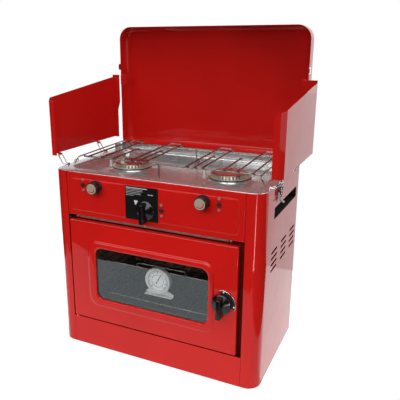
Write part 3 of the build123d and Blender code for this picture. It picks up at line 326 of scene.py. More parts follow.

# %% [markdown]
# The body is sprayed with gloss enamel. The frame inside the gap beside the door gets a very dark red, which
# is painted shade for the shadow in that gap. The enamel has the slight ripple of sprayed paint, called
# orange peel, and a red that drifts a little where the coat is thicker. One glossy surface could do, but a
# clear coat over a matt red keeps the gleams white and small.

# %% Red gloss paint


def red_gloss_paint():
    """Red under a clear coat, with faint orange peel."""
    material, tree, shader = finish("red_gloss_paint", (0.72, 0.012, 0.009), 0.4)
    two_tone(tree, object_noise(tree, 7.0, 1.0), (0.70, 0.0112, 0.0084), (0.745, 0.0128, 0.0096), shader)
    drift(tree, object_noise(tree, 14.0, 1.0), 0.38, 0.46, shader)
    fine_bump(tree, object_noise(tree, 260.0, 0.0), 0.0000015, shader)
    shader.inputs["Specular IOR Level"].default_value = 0.05
    shader.inputs["Coat Weight"].default_value = 1.0
    shader.inputs["Coat Roughness"].default_value = 0.03
    shader.inputs["Coat IOR"].default_value = 1.37
    return material


def painted_gap_shade():
    """Very dark red on the oven frame inside the door gap: painted shade for the shadow there."""
    material, tree, shader = finish("painted_gap_shade", (0.09, 0.006, 0.005), 0.55)
    two_tone(tree, object_noise(tree, 50.0), (0.085, 0.004, 0.003), (0.115, 0.006, 0.004), shader)
    shader.inputs["Specular IOR Level"].default_value = 0.1
    return material


FINISHES = {"red_paint": red_gloss_paint()}
gap_shade = painted_gap_shade()
print("paints", sorted(FINISHES), "and a primer")

# %% [markdown]
# The bare metals differ in how they were worked and in how hot they get. The cooktop is satin steel with a
# faint grain from left to right, small fittings are plated or chromed, wires have lost their shine, and the
# burner heads have the straw tint that stainless steel takes from heat. Each is the same shader with a tint,
# a share of metal and a range of roughness of its own, because that is what tells them apart by eye.

# %% Bare metals


def cooktop_steel():
    """Satin steel with a long grain."""
    material, tree, shader = finish("cooktop_steel", (0.62, 0.635, 0.63), 0.22, 0.74)
    grain = object_noise(tree, 260.0, 2.0, (0.04, 1, 1))
    drift(tree, grain, 0.21, 0.26, shader)
    two_tone(tree, object_noise(tree, 14.0), (0.60, 0.615, 0.61), (0.64, 0.655, 0.65), shader)
    fine_bump(tree, grain, 0.000003, shader)
    return material


def dull_steel():
    """Unpainted sheet, slightly brown with age."""
    return worn(
        "dull_steel", (0.16, 0.12, 0.10), 0.42, 1.0, (150.0, 0.34, 0.5),
        tones=(60.0, (0.15, 0.115, 0.095), (0.175, 0.138, 0.115)),
    )


def bright_chrome():
    """Chrome with faint handling marks."""
    return worn("bright_chrome", (0.80, 0.80, 0.81), 0.12, 1.0, (120.0, 0.08, 0.2))


def straw_steel():
    """Steel tinted by heat."""
    return worn(
        "straw_steel", (0.74, 0.70, 0.61), 0.33, 0.75, (200.0, 0.27, 0.4),
        tones=(45.0, (0.68, 0.63, 0.53), (0.82, 0.78, 0.70)),
    )


def polished_steel():
    """Polished disc, a little yellow from heat."""
    return worn(
        "polished_steel", (0.66, 0.62, 0.52), 0.2, 1.0, (200.0, 0.14, 0.26),
        tones=(45.0, (0.58, 0.54, 0.43), (0.72, 0.69, 0.60)),
    )


def spun_steel():
    """Warm grey steel of the knob caps, spun to a fine grain."""
    return worn("spun_steel", (0.78, 0.64, 0.51), 0.38, 0.55, (420.0, 0.34, 0.48))


def satin_zinc():
    """Zinc plating, pale and even, on screws and on the thermometer."""
    return worn(
        "satin_zinc", (0.80, 0.79, 0.77), 0.4, 0.5, (260.0, 0.34, 0.46),
        tones=(80.0, (0.74, 0.73, 0.71), (0.85, 0.84, 0.82)),
    )


def rack_wire():
    """Wire and plate that have lost their shine to heat and handling."""
    return worn("rack_wire", (0.34, 0.30, 0.285), 0.24, 1.0, (140.0, 0.20, 0.34))


def baked_wire():
    """Oven rack wire, browned by heat."""
    return worn(
        "baked_wire", (0.20, 0.16, 0.13), 0.3, 1.0, (140.0, 0.24, 0.38),
        tones=(70.0, (0.15, 0.12, 0.10), (0.26, 0.21, 0.17)),
    )


def browned_strip():
    """Bare strip above the door, browned by the oven."""
    return worn(
        "browned_strip", (0.52, 0.39, 0.30), 0.4, 0.5, (150.0, 0.28, 0.42),
        tones=(40.0, (0.46, 0.33, 0.25), (0.58, 0.45, 0.36)),
    )


def yellow_brass():
    """Turned brass of the gas fittings."""
    return worn("yellow_brass", (0.70, 0.52, 0.25), 0.28, 1.0, (180.0, 0.22, 0.36))


def shade_dark_alloy():
    """Sand-cast aluminium, darkened far below bare metal as painted shade for the shadow under the burner
    caps.
    """
    material, tree, shader = finish("shade_dark_alloy", (0.20, 0.19, 0.18), 0.5, 1.0)
    fine_bump(tree, object_noise(tree, 700.0), 0.00008, shader)
    drift(tree, object_noise(tree, 90.0), 0.42, 0.6, shader)
    return material


METALS = {
    "cooktop_steel": cooktop_steel(),
    "bare_steel": dull_steel(),
    "chrome": bright_chrome(),
    "brass": yellow_brass(),
    # The burner bases wear painted shade: as dark as their shadow under the caps.
    "burner_alloy": shade_dark_alloy(),
}
FINISHES.update(METALS)
straw = straw_steel()
polished = polished_steel()
spun_cap = spun_steel()
zinc = satin_zinc()
dull_wire = rack_wire()
brown_strip = browned_strip()
brown_wire = baked_wire()
print("metals of the nodes", sorted(METALS))

# %% [markdown]
# The rest are small things: brown enamel inside the oven, black plastic, a black printed plate, window
# glass, the door seal, white ceramic and the dial of the thermometer. The glass is real glass that bends
# and mirrors light, not a grey film, because the oven behind it has to show through the gleam on it.

# %% Other finishes


def oven_enamel():
    """Brown enamel with fine specks."""
    material, tree, shader = finish("oven_enamel", (0.34, 0.17, 0.10), 0.5)
    speck = object_noise(tree, 900.0, 1.0)
    two_tone(tree, speck, (0.31, 0.15, 0.088), (0.37, 0.19, 0.112), shader)
    drift(tree, object_noise(tree, 30.0), 0.32, 0.5, shader)
    return material


def knob_black():
    """Moulded black plastic, glossy from handling."""
    material, tree, shader = finish("knob_black", (0.006, 0.006, 0.006), 0.18)
    drift(tree, object_noise(tree, 160.0), 0.14, 0.24, shader)
    fine_bump(tree, object_noise(tree, 2400.0, 1.0), 0.000002, shader)
    shader.inputs["Specular IOR Level"].default_value = 0.5
    return material


def matt_black():
    """Matt black plastic with a fine texture."""
    material, tree, shader = finish("matt_black", (0.012, 0.012, 0.012), 0.6)
    drift(tree, object_noise(tree, 140.0), 0.5, 0.7, shader)
    fine_bump(tree, object_noise(tree, 3000.0, 1.0), 0.00003, shader)
    return material


def plate_black():
    """Screen-printed black on thin metal."""
    material, tree, shader = finish("plate_black", (0.009, 0.009, 0.01), 0.34)
    drift(tree, object_noise(tree, 220.0), 0.28, 0.42, shader)
    shader.inputs["Specular IOR Level"].default_value = 0.2
    return material


def window_glass():
    """Clear glass with the faint haze of use and a cool cast."""
    material, tree, shader = finish("window_glass", (0.96, 0.985, 1.0), 0.02)
    drift(tree, object_noise(tree, 25.0), 0.0, 0.03, shader)
    shader.inputs["Transmission Weight"].default_value = 1.0
    shader.inputs["IOR"].default_value = 1.65
    shader.inputs["Specular Tint"].default_value = (0.82, 0.95, 1.0, 1)
    return material


def seal_rubber():
    """Dark silicone seal."""
    material, tree, shader = finish("seal_rubber", (0.03, 0.03, 0.03), 0.75)
    fine_bump(tree, object_noise(tree, 900.0), 0.00006, shader)
    return material


def dial_white():
    """White dial paint with a trace of age."""
    material, tree, shader = finish("dial_white", (0.90, 0.90, 0.89), 0.35)
    two_tone(tree, object_noise(tree, 90.0), (0.86, 0.86, 0.85), (0.93, 0.93, 0.92), shader)
    return material


def dial_print():
    """Grey printing on the dial."""
    return worn("dial_print", (0.28, 0.28, 0.29), 0.5, 0.0, (500.0, 0.44, 0.56))


def white_ceramic():
    """Glazed ceramic of the electrodes."""
    return worn("white_ceramic", (0.80, 0.78, 0.73), 0.22, 0.0, (300.0, 0.16, 0.3))


SMALL_THINGS = {
    "oven_enamel": oven_enamel(),
    "black_knob": knob_black(),
    "black_plastic": matt_black(),
    "plate_black": plate_black(),
    "window_glass": window_glass(),
    "seal_rubber": seal_rubber(),
    "dial_white": dial_white(),
    "ceramic": white_ceramic(),
}
FINISHES.update(SMALL_THINGS)
dial_grey = dial_print()
print("finishes of the nodes", len(FINISHES))

# %% [markdown]
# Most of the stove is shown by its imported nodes, each in the finish that the record names for it, and a few
# in a finish of their own. A node comes as loose triangles. Flat shading would show each facet of a bend,
# so a weld joins the triangles, and an edge split keeps the real corners sharp. Neither moves a point.

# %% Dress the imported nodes
WELD_GAP = 0.00002
SHARP_ANGLE = 28.0


def shade_smoothly(node):
    """Smooth shading on bends, sharp edges kept."""
    node.data.polygons.foreach_set("use_smooth", np.ones(len(node.data.polygons), bool))
    weld = node.modifiers.new("weld", "WELD")
    weld.merge_threshold = WELD_GAP
    split = node.modifiers.new("corners", "EDGE_SPLIT")
    split.split_angle = radians(SHARP_ANGLE)


def wear(node_name, material):
    """Give a node one finish all over."""
    node = nodes[node_name]
    node.data.materials.clear()
    node.data.materials.append(material)


for part in frame["record"]["subparts"]:
    wear(part["node"], FINISHES[part["material_slot"]])
    shade_smoothly(nodes[part["node"]])
# The oven frame gets painted shade: a very dark red for the shadow in the gap beside the door.
SPECIAL = {
    "igniter_screws": straw, "thermometer_case": zinc, "racks": brown_wire, "oven_frame": gap_shade,
    "latch_bases": dull_wire, "latch_lever_left": dull_wire, "latch_lever_right": dull_wire,
}
for name, material in SPECIAL.items():
    wear(name, material)
print("dressed", len(nodes))

# %% [markdown]
# The pieces that follow are new surfaces. Each is a grid of points worked out whole: outlines stacked one
# on the next, a profile turned round an axis, or a ring carried along a path. They are worked out in
# millimetres, as a drawing is, and turned into metres when the mesh is made.

# %% Helpers for surfaces
MM = 0.001
CORNER_STEPS = 12
LEAST_RADIUS = 0.3
SHARP_EDGE = 40.0
FRONT_GUIDE, UP_GUIDE = np.array([0.0, 1.0, 0.0]), np.array([0.0, 0.0, 1.0])


def skin(rows, ends, start=0):
    """Quads between neighbouring rows of points, each row a closed ring. The end rows are filled by a face,
    or else joined to each other, so that the shell is closed either way."""
    count, around = rows.shape[:2]
    index = start + np.arange(count * around).reshape(count, around)
    near = index if ends else np.concatenate([index, index[:1]])
    far = np.roll(near, -1, axis=1)
    faces = np.stack([near[:-1], far[:-1], far[1:], near[1:]], axis=-1).reshape(-1, 4).tolist()
    if ends:
        faces += [index[0][::-1].tolist(), index[-1].tolist()]
    return faces


def smooth_piece(name, points, faces, material):
    """A piece from points in millimetres, smooth where it bends gently and sharp at its corners."""
    piece = new_piece(name, (points * MM).tolist(), faces, material)
    piece.data.polygons.foreach_set("use_smooth", np.ones(len(faces), bool))
    piece.data.set_sharp_from_angle(angle=radians(SHARP_EDGE))
    return piece


def surface(name, rows, material, ends=True):
    """One closed shell as a piece."""
    rows = np.asarray(rows, float)
    return smooth_piece(name, rows.reshape(-1, 3), skin(rows, ends), material)


def welded(name, shells, material):
    """Several closed shells as one piece."""
    sizes = [len(rows.reshape(-1, 3)) for rows in shells]
    starts = np.concatenate([[0], np.cumsum(sizes)[:-1]])
    faces = [face for rows, start in zip(shells, starts) for face in skin(rows, True, start)]
    return smooth_piece(name, np.concatenate([rows.reshape(-1, 3) for rows in shells]), faces, material)


def belongs(piece, body, slot, *stands_for):
    """Tie a piece to its body, and hide the nodes that it stands for. The slot is not used."""
    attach(piece, body)
    if stands_for:
        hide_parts(*stands_for)
    return piece


def outline(left, right, low, high, radii):
    """A rounded rectangle, counterclockwise from its high right corner, with one radius for each corner."""
    radii = np.broadcast_to(radii, 4)
    turn = np.linspace(0, np.pi / 2, CORNER_STEPS)
    across = np.array([right, left, left, right]) - np.array([1, -1, -1, 1]) * radii
    up = np.array([high, high, low, low]) - np.array([1, 1, -1, -1]) * radii
    angle = turn[None, :] + np.arange(4)[:, None] * np.pi / 2
    x = across[:, None] + radii[:, None] * np.cos(angle)
    y = up[:, None] + radii[:, None] * np.sin(angle)
    return np.stack([x, y], axis=-1).reshape(-1, 2)


def inset(sides, amount):
    """The same rounded rectangle, smaller all round."""
    left, right, low, high, radii = sides
    radii = np.maximum(np.subtract(radii, amount), LEAST_RADIUS)
    return left + amount, right - amount, low + amount, high - amount, radii


def between(first, second, share):
    """A rounded rectangle part of the way from one to another."""
    pairs = zip(first, second)
    return tuple((1 - share) * np.asarray(a, float) + share * np.asarray(b, float) for a, b in pairs)


def upright(sides, y):
    """An outline that faces the front, at a depth y."""
    flat = outline(*sides)
    return np.stack([flat[:, 0], np.full(len(flat), y), flat[:, 1]], axis=-1)


def level(sides, z):
    """An outline that lies flat, at a height z."""
    flat = outline(*sides)
    return np.stack([flat[:, 0], flat[:, 1], np.full(len(flat), z)], axis=-1)


def round_axis(centre, radius, y, angle):
    """Points at a radius and an angle round an axis along Y."""
    x, z = centre[0] + radius * np.cos(angle), centre[1] + radius * np.sin(angle)
    return np.stack([x, np.broadcast_to(y, x.shape), z], axis=-1)


def turned(profile, centre, steps=64, flutes=0, depth=0.0):
    """A profile of (radius, y, fluted) turned round an axis along Y. A wave cuts into the fluted part."""
    profile = np.asarray(profile, float)
    angle = np.linspace(0, 2 * np.pi, steps, endpoint=False)
    cut = np.where(profile[:, 2:3] > 0, depth * (0.5 - 0.5 * np.cos(flutes * angle)), 0.0)
    return round_axis(centre, profile[:, :1] - cut, profile[:, 1:2], angle)


def plain(*pairs):
    """A profile with no flutes."""
    return [(radius, y, 0) for radius, y in pairs]


def tube(path, radius, steps=10):
    """A ring of points carried along a path, square to it."""
    path = np.asarray(path, float)
    ahead = np.gradient(path, axis=0)
    ahead /= np.linalg.norm(ahead, axis=1, keepdims=True)
    guide = FRONT_GUIDE if np.ptp(path[:, 1]) < np.ptp(path[:, 2]) else UP_GUIDE
    side = np.cross(ahead, guide)
    side /= np.linalg.norm(side, axis=1, keepdims=True)
    top = np.cross(ahead, side)
    angle = np.linspace(0, 2 * np.pi, steps, endpoint=False)[None, :, None]
    return path[:, None] + radius * (np.cos(angle) * side[:, None] + np.sin(angle) * top[:, None])


print("surface helpers ready")

# %% [markdown]
# The oven door is one pressing: the sheet turns in at its edges and rises into a soft ridge round the
# window. It could be a box with bevelled edges, but a bevel has one radius. So outlines from the window to
# the door edge are stacked, each with its own depth, and the ridge gets the shoulders of drawn steel.

# %% Pressed oven door
WINDOW = (-146, 140, 133, 264, 18)
RIDGE = (-171, 155, 111, 282, 26)
DOOR = (-216, 205, 73, 325, 3)
RIDGE_FACE, RIDGE_HEIGHT = -148.0, 4.0
LIP_SHAPE = [(0.0, -143.0), (0.0, -145.6), (0.03, -146.8), (0.08, -147.6), (0.15, -147.9), (0.3, RIDGE_FACE)]
LIP_WALL, SHEET = 0.04, 1.0
SLOPE_FROM, SLOPE_TO, SLOPE_STEPS = 0.6, 0.97, 10
DOOR_BACK, DOOR_RETURN = -142.9, -133.0
DOOR_EDGE = ((3.2, -144.0), (1.8, -143.7), (0.7, -142.9), (0.1, -141.6), (0.0, -140.0), (0.0, DOOR_RETURN))
slope = np.linspace(0, 1, SLOPE_STEPS)
slope_share = SLOPE_FROM + (SLOPE_TO - SLOPE_FROM) * slope
slope_depth = RIDGE_FACE + RIDGE_HEIGHT * slope**2 * (3 - 2 * slope)
ridge_shape = LIP_SHAPE + list(zip(slope_share, slope_depth))
door_rows = [upright(between(WINDOW, RIDGE, share), y) for share, y in ridge_shape]
door_rows += [upright(inset(DOOR, amount), y) for amount, y in DOOR_EDGE]
door_rows += [upright(inset(DOOR, SHEET), y) for y in (DOOR_RETURN, DOOR_BACK)]
door_rows.append(upright(between(WINDOW, RIDGE, LIP_WALL), DOOR_BACK))
door = surface("door_pressing", door_rows[::-1], FINISHES["red_paint"], ends=False)
belongs(door, "oven_door", "red_paint", "door_skin", "window_bezel")
print("door pressing", len(door.data.polygons), "faces")

# %% [markdown]
# The control panel is pressed too. A shallow field is raised from it for the knobs, with a rounded step
# round it, and the edges of the sheet turn back where they meet the sides. A bump in the paint could fake
# the step, but a real one catches the lamp in a thin line, as it does on the stove.

# %% Pressed control panel
PANEL = (-216.7, 216.7, 337.5, 441, 1.5)
FIELD = (-207, 203.5, 350, 427, 9)
PANEL_INSIDE, PANEL_RETURN = -143.0, -130.0
PANEL_EDGE = ((0.0, PANEL_RETURN), (0.0, -142.4), (0.3, -143.3), (0.9, -143.85), (1.6, -144.0))
FIELD_STEP = (
    (-0.6, -144.0), (-0.2, -144.05), (0.3, -144.3), (0.8, -144.75), (1.3, -145.2), (1.8, -145.45),
    (2.4, -145.5), (38.0, -145.5),
)
panel_rows = [upright(inset(PANEL, SHEET), y) for y in (PANEL_INSIDE, PANEL_RETURN)]
panel_rows += [upright(inset(PANEL, amount), y) for amount, y in PANEL_EDGE]
panel_rows += [upright(inset(FIELD, amount), y) for amount, y in FIELD_STEP]
panel = surface("control_pressing", panel_rows, FINISHES["red_paint"])
belongs(panel, "body", "red_paint", "control_panel")
print("control pressing", len(panel.data.polygons), "faces")

# %% [markdown]
# The cooktop is a drawn steel pan. Its rim rolls over the body, and the well has a rounded lip, steep walls
# and a rounded foot. The upstand at the back is a strip with a rolled top that wraps the rear corners. Both
# could be cut from a block, but stacked outlines give the soft bends that the steel mirrors.

# %% Drawn cooktop pan
RIM = (-254.5, 254.5, -143.5, 143.5, (16, 16, 29.5, 29.5))
WELL = (-228, 228, -113, 131, 25)
RIM_ROLL = ((0.0, 441.0), (0.1, 441.5), (0.5, 441.9), (1.4, 442.0))
WELL_SHAPE = (
    (-5.0, 442.0), (-3.0, 441.8), (-1.4, 441.0), (-0.5, 439.6), (0.0, 437.5), (1.0, 430.0), (2.0, 427.2),
    (4.0, 425.2), (7.0, 424.2), (11.0, 424.0), (121.0, 424.0),
)
UNDERSIDE = ((121.0, 423.0), (10.0, 423.0), (-1.0, 437.5), (-6.0, 441.0))
pan_rows = [level(inset(WELL, amount), z) for amount, z in UNDERSIDE]
pan_rows += [level(inset(RIM, amount), z) for amount, z in RIM_ROLL]
pan_rows += [level(inset(WELL, amount), z) for amount, z in WELL_SHAPE]
pan = surface("cooktop_pan", pan_rows, FINISHES["cooktop_steel"])
belongs(pan, "body", "cooktop_steel", "cooktop")

UPSTAND_REACH = 18.0
UPSTAND_SHAPE = (
    (0.0, 441.5), (0.0, 453.6), (0.2, 454.5), (0.5, 455.0), (0.8, 454.5), (1.0, 453.6), (1.0, 441.5),
)


def upstand_line(amount):
    """The rear edge of the rim, from its right end round both corners to its left end."""
    flat = outline(*inset(RIM, amount))
    rear = flat[: 2 * CORNER_STEPS]
    ends = np.array([[x, RIM[3] - UPSTAND_REACH] for x in (rear[0, 0], rear[-1, 0])])
    return np.concatenate([ends[:1], rear, ends[1:]])


upstand_rows = []
for amount, z in UPSTAND_SHAPE:
    line = upstand_line(amount)
    upstand_rows.append(np.column_stack([line, np.full(len(line), z)]))
upstand_rings = np.swapaxes(upstand_rows, 0, 1)[::-1]
upstand = surface("cooktop_upstand", upstand_rings, FINISHES["cooktop_steel"])
belongs(upstand, "body", "cooktop_steel")
print("pan", len(pan.data.polygons), "upstand", len(upstand.data.polygons), "faces")

# %% [markdown]
# The pot grate is welded from round wire, bent at its corners, and rises a little towards the back. It could
# be drawn as curves with a bevel. Here a ring is carried along each path, so the wires are one plain mesh.

# %% Pot grate
GRATE_WIRE, EDGE_WIRE, WELD_DROP = 2.0, 1.5, 3.4
GRATE_FRONT, GRATE_BACK = (-84.0, 461.5), (139.5, 466.5)
EDGE_X, FOOT_X, FOOT_Z, REAR_FOOT_Y = 225.5, 237.0, 443.5, 137.0
LOOPS, LOOP_FRONT, LOOP_BEND = ((52.0, 90.0), (170.0, 205.0)), -72.0, 7.0
FINGERS, FINGER_BACK, FINGER_HOOK, FINGER_BEND = (71.0, 138.0), 52.0, 5.0, 3.5
CROSS_WIRES, PAN_FLOOR = ((-60.0, -20.0), (118.0, -4.0)), 424.0
BEND_STEPS = 7


def bent(points, bend):
    """A path through points. Each inner corner is rounded by the curve that weighs the two ends of the bend
    and its corner by the squares and the product of the shares of the way gone and left."""
    points = np.asarray(points, float)
    corner = points[1:-1, None]
    back, ahead = points[:-2, None] - corner, points[2:, None] - corner
    start = corner + bend * back / np.linalg.norm(back, axis=-1, keepdims=True)
    end = corner + bend * ahead / np.linalg.norm(ahead, axis=-1, keepdims=True)
    gone = np.linspace(0, 1, BEND_STEPS)[None, :, None]
    curve = (1 - gone) ** 2 * start + 2 * gone * (1 - gone) * corner + gone**2 * end
    return np.concatenate([points[:1], curve.reshape(-1, 3), points[-1:]])


def on_grate(x, y, drop=0.0):
    """A point on the slope of the grate, or below it by a drop."""
    return x, y, np.interp(y, *zip(GRATE_FRONT, GRATE_BACK)) - drop


grate_paths = []
edge_paths = []
for hand in (-1, 1):
    edge_ends = [on_grate(hand * EDGE_X, y) for y in (GRATE_FRONT[0], GRATE_BACK[0])]
    front_foot, rear_foot = [(hand * FOOT_X, y, FOOT_Z) for y in (GRATE_FRONT[0], REAR_FOOT_Y)]
    edge_paths.append(bent([front_foot, *edge_ends, rear_foot], LOOP_BEND))
    for inner, outer in LOOPS:
        places = ((inner, LOOP_FRONT), (inner, GRATE_BACK[0]), (outer, GRATE_BACK[0]), (outer, LOOP_FRONT))
        grate_paths.append(bent([on_grate(hand * x, y) for x, y in places], LOOP_BEND))
    for finger in FINGERS:
        start, end = on_grate(hand * finger, LOOP_FRONT), on_grate(hand * finger, FINGER_BACK)
        hook = (end[0], end[1] + FINGER_HOOK, end[2] - FINGER_HOOK)
        grate_paths.append(bent([start, end, hook], FINGER_BEND))
for y, leg in CROSS_WIRES:
    grate_paths.append([on_grate(x, y, WELD_DROP) for x in (-EDGE_X, EDGE_X)])
    grate_paths.append([on_grate(leg, y, WELD_DROP), (leg, y, PAN_FLOOR)])
shells = [tube(path, GRATE_WIRE) for path in grate_paths] + [tube(path, EDGE_WIRE) for path in edge_paths]
grate = welded("grate_wires", shells, dull_wire)
belongs(grate, "body", "chrome", "grate")
print("grate wires", len(shells))

# %% [markdown]
# The burner knobs are turned forms: a skirt, a fluted grip and a chamfered face with a recess. A spun metal
# cap with a fine groove fills the recess, and a red arc on it shows how far the gas is open. The flutes
# could be cut one by one. Here a wave narrows the radius round the grip, so one formula gives them all.

# %% Burner knobs
KNOB_PLACES = {"left": (-134.0, 412.5), "right": (127.0, 412.5)}
KNOB_FLUTES, FLUTE_STEPS, FLUTE_DEPTH = 26, 6, 0.9
KNOB_SHAPE = [
    (4.0, -129.3, 0), (4.0, -145.8, 0), (14.4, -145.8, 0), (15.0, -146.3, 0), (15.0, -149.2, 0),
    (14.6, -149.8, 0), (14.6, -150.2, 1), (14.5, -163.6, 1), (14.3, -164.6, 0), (13.2, -166.4, 0),
    (12.6, -166.8, 0), (12.1, -166.7, 0), (12.05, -165.7, 0),
]
CAP_SHAPE = plain(
    (12.0, -165.6), (12.0, -166.5), (11.7, -166.8), (10.6, -166.8), (10.3, -166.5), (9.7, -166.5),
    (9.4, -166.8), (6.0, -166.85), (3.0, -166.9),
)
ARC_FROM, ARC_TO, ARC_STEPS = 222.0, 372.0, 40
ARC_BAND = np.array([(6.8, -166.75), (7.0, -167.0), (8.9, -167.0), (9.1, -166.75)])


def red_arc(centre):
    """A thin raised band on the cap: its four corners carried along a circle between two angles."""
    angle = np.radians(np.linspace(ARC_FROM, ARC_TO, ARC_STEPS))[:, None]
    return round_axis(centre, *ARC_BAND.T, angle)


for hand, centre in KNOB_PLACES.items():
    body = "burner_knob_" + hand
    grip_rows = turned(KNOB_SHAPE, centre, KNOB_FLUTES * FLUTE_STEPS, KNOB_FLUTES, FLUTE_DEPTH)
    grip = surface("knob_grip_" + hand, grip_rows, FINISHES["black_knob"])
    belongs(grip, body, "black_knob", "knob_" + hand)
    cap = surface("knob_face_" + hand, turned(CAP_SHAPE, centre), spun_cap)
    belongs(cap, body, "chrome", f"knob_{hand}_cap")
    belongs(surface("knob_arc_" + hand, red_arc(centre), FINISHES["red_paint"]), body, "red_paint")
print("burner knobs", sorted(KNOB_PLACES))

# %% [markdown]
# The oven valve and the door have bar knobs of glossy black plastic. The skirt is a low cone, turned round
# the shaft, so it shows a bright sector where it faces the lamp. The bar is a stack of outlines that narrow
# towards the hand, with a rounded front edge.

# %% Bar knobs
BAR_KNOBS = {
    "door": {
        "centre": (172.0, 192.0), "radius": 22.5, "shaft_end": -127.5, "seat": -148.3, "front": -172.8,
        "bar": (166.0, 178.0, 165.0, 212.0, 3.2), "body": "door_latch", "node": "door_knob",
    },
    "oven": {
        "centre": (-8.0, 375.0), "radius": 22.0, "shaft_end": -129.3, "seat": -146.6, "front": -171.1,
        "bar": (-13.6, -2.4, 348.0, 394.0, 3.2), "body": "oven_knob", "node": "knob_oven",
    },
}
SKIRT_RISE = ((0.0, 0.4), (0.0, 2.6), (-0.3, 3.2), (-1.0, 3.7), (-2.0, 4.2))
SKIRT_FOOT, SKIRT_STEPS, SHAFT = 0.4, 72, 4.0
CONE_SLOPE, CONE_TOP, CONE_STEPS = 0.52, 5.0, 6
BAR_EDGE = ((0.0, 22.0), (0.8, 1.8), (1.0, 0.9), (1.5, 0.3), (2.4, 0.0))


def skirt_rows(radius, shaft_end, seat, centre):
    """The shaft, then a rim with a rounded edge, then a cone up to the middle, turned round the shaft."""
    rim = [(radius + out, seat - rise) for out, rise in SKIRT_RISE]
    edge, rise = rim[-1]
    cone = np.linspace(edge, CONE_TOP, CONE_STEPS)[1:]
    shape = [(SHAFT, shaft_end), (SHAFT, seat), (radius - SKIRT_FOOT, seat), *rim]
    shape += list(zip(cone, rise - CONE_SLOPE * (edge - cone)))
    return turned(plain(*shape), centre, SKIRT_STEPS)


for name, knob in BAR_KNOBS.items():
    rows = skirt_rows(knob["radius"], knob["shaft_end"], knob["seat"], knob["centre"])
    skirt = surface("knob_skirt_" + name, rows, FINISHES["black_knob"])
    belongs(skirt, knob["body"], "black_knob", knob["node"])
    rows = [upright(inset(knob["bar"], amount), knob["front"] + back) for amount, back in BAR_EDGE]
    belongs(surface("knob_bar_" + name, rows, FINISHES["black_knob"]), knob["body"], "black_knob")
print("bar knobs", sorted(BAR_KNOBS))

# %% [markdown]
# Each burner head stands in a collar of the pan. It has a rolled drip ring, a wall of flame slots, and a
# polished disc on top that mirrors the lid. A black sleeve inside the wall is painted shade, put there so
# that the slots read dark. The slots could be cut out one by one. Here they come from one wave: the radius of
# the wall steps in and out, so every slot is real and has depth.

# %% Burner heads
BURNERS = {"left": (-128.0, 4.0), "right": (128.0, 4.0)}
SLOTS, SLOT_DEPTH, SLOT_EDGE, SLOT_STEPS = 36, 4.4, 5.0, 12
HEAD_STEPS = 96
DRIP_STANDS_FOR = {"left": ["burner_caps"], "right": []}
DRIP_RING = [
    (38.0, 433.4), (47.0, 432.6), (49.4, 432.6), (50.0, 433.4), (49.9, 434.2), (49.0, 434.9), (47.4, 435.0),
    (45.5, 434.3), (43.0, 434.0), (38.0, 434.0),
]
DISC = [
    (37.0, 440.4), (41.4, 440.4), (42.2, 440.8), (42.4, 441.3), (41.8, 441.8), (38.0, 442.1), (24.0, 442.5),
    (8.0, 442.6), (1.0, 442.6),
]
SHADE_SLEEVE = [(36.0, 434.2), (37.0, 434.2), (37.0, 440.3), (36.0, 440.3)]
COLLAR = [
    (48.0, 423.8), (66.0, 423.8), (66.0, 424.05), (60.0, 424.5), (55.0, 425.8), (52.0, 427.6), (50.6, 429.2),
    (49.8, 429.9), (49.0, 430.0), (48.3, 429.5), (48.0, 428.5),
]
WALL_RADII = np.array([35.0, 46.8, 47.0, 42.2, 41.4, 35.0])
WALL_HEIGHTS = np.array([434.2, 434.2, 434.8, 439.9, 440.4, 440.4])
WALL_CUT = np.array([0.0, 2.1, 2.1, 1.1, 0.9, 0.0])


def standing(profile, centre):
    """A profile of (radius, height) turned round an upright axis: a turned form with Y and Z exchanged."""
    return turned(plain(*profile), centre, HEAD_STEPS)[..., [0, 2, 1]]


def slotted_wall(centre):
    """The radius steps in by the slot depth where a steep wave is high, and out again where it is low."""
    angle = np.linspace(0, 2 * np.pi, SLOTS * SLOT_STEPS, endpoint=False)
    step = 0.5 + 0.5 * np.tanh(SLOT_EDGE * np.cos(SLOTS * angle))
    radius = WALL_RADII[:, None] - WALL_CUT[:, None] * SLOT_DEPTH * step
    return round_axis(centre, radius, WALL_HEIGHTS[:, None], angle)[..., [0, 2, 1]]


for side, centre in BURNERS.items():
    collar = surface("burner_collar_" + side, standing(COLLAR, centre), FINISHES["cooktop_steel"], False)
    belongs(collar, "body", "cooktop_steel")
    ring = surface("drip_ring_" + side, standing(DRIP_RING, centre), straw, False)
    belongs(ring, "body", "burner_alloy", *DRIP_STANDS_FOR[side])
    belongs(surface("flame_slots_" + side, slotted_wall(centre), straw), "body", "burner_alloy")
    # Painted shade: a black sleeve behind the flame slots.
    sleeve = surface("slot_shade_sleeve_" + side, standing(SHADE_SLEEVE, centre), FINISHES["seal_rubber"], False)
    belongs(sleeve, "body", "burner_alloy")
    belongs(surface("burner_disc_" + side, standing(DISC, centre), polished), "body", "burner_alloy")
print("burner heads", sorted(BURNERS), "slots", SLOTS)

# %% [markdown]
# The oven thermometer hangs from the upper rack. Its case gets a rolled bezel, and its dial gets graduation
# marks, two rings and a needle with a hub. The marks could be painted on, but as thin raised bars they stay
# crisp at any size, and one set of arrays places them all.

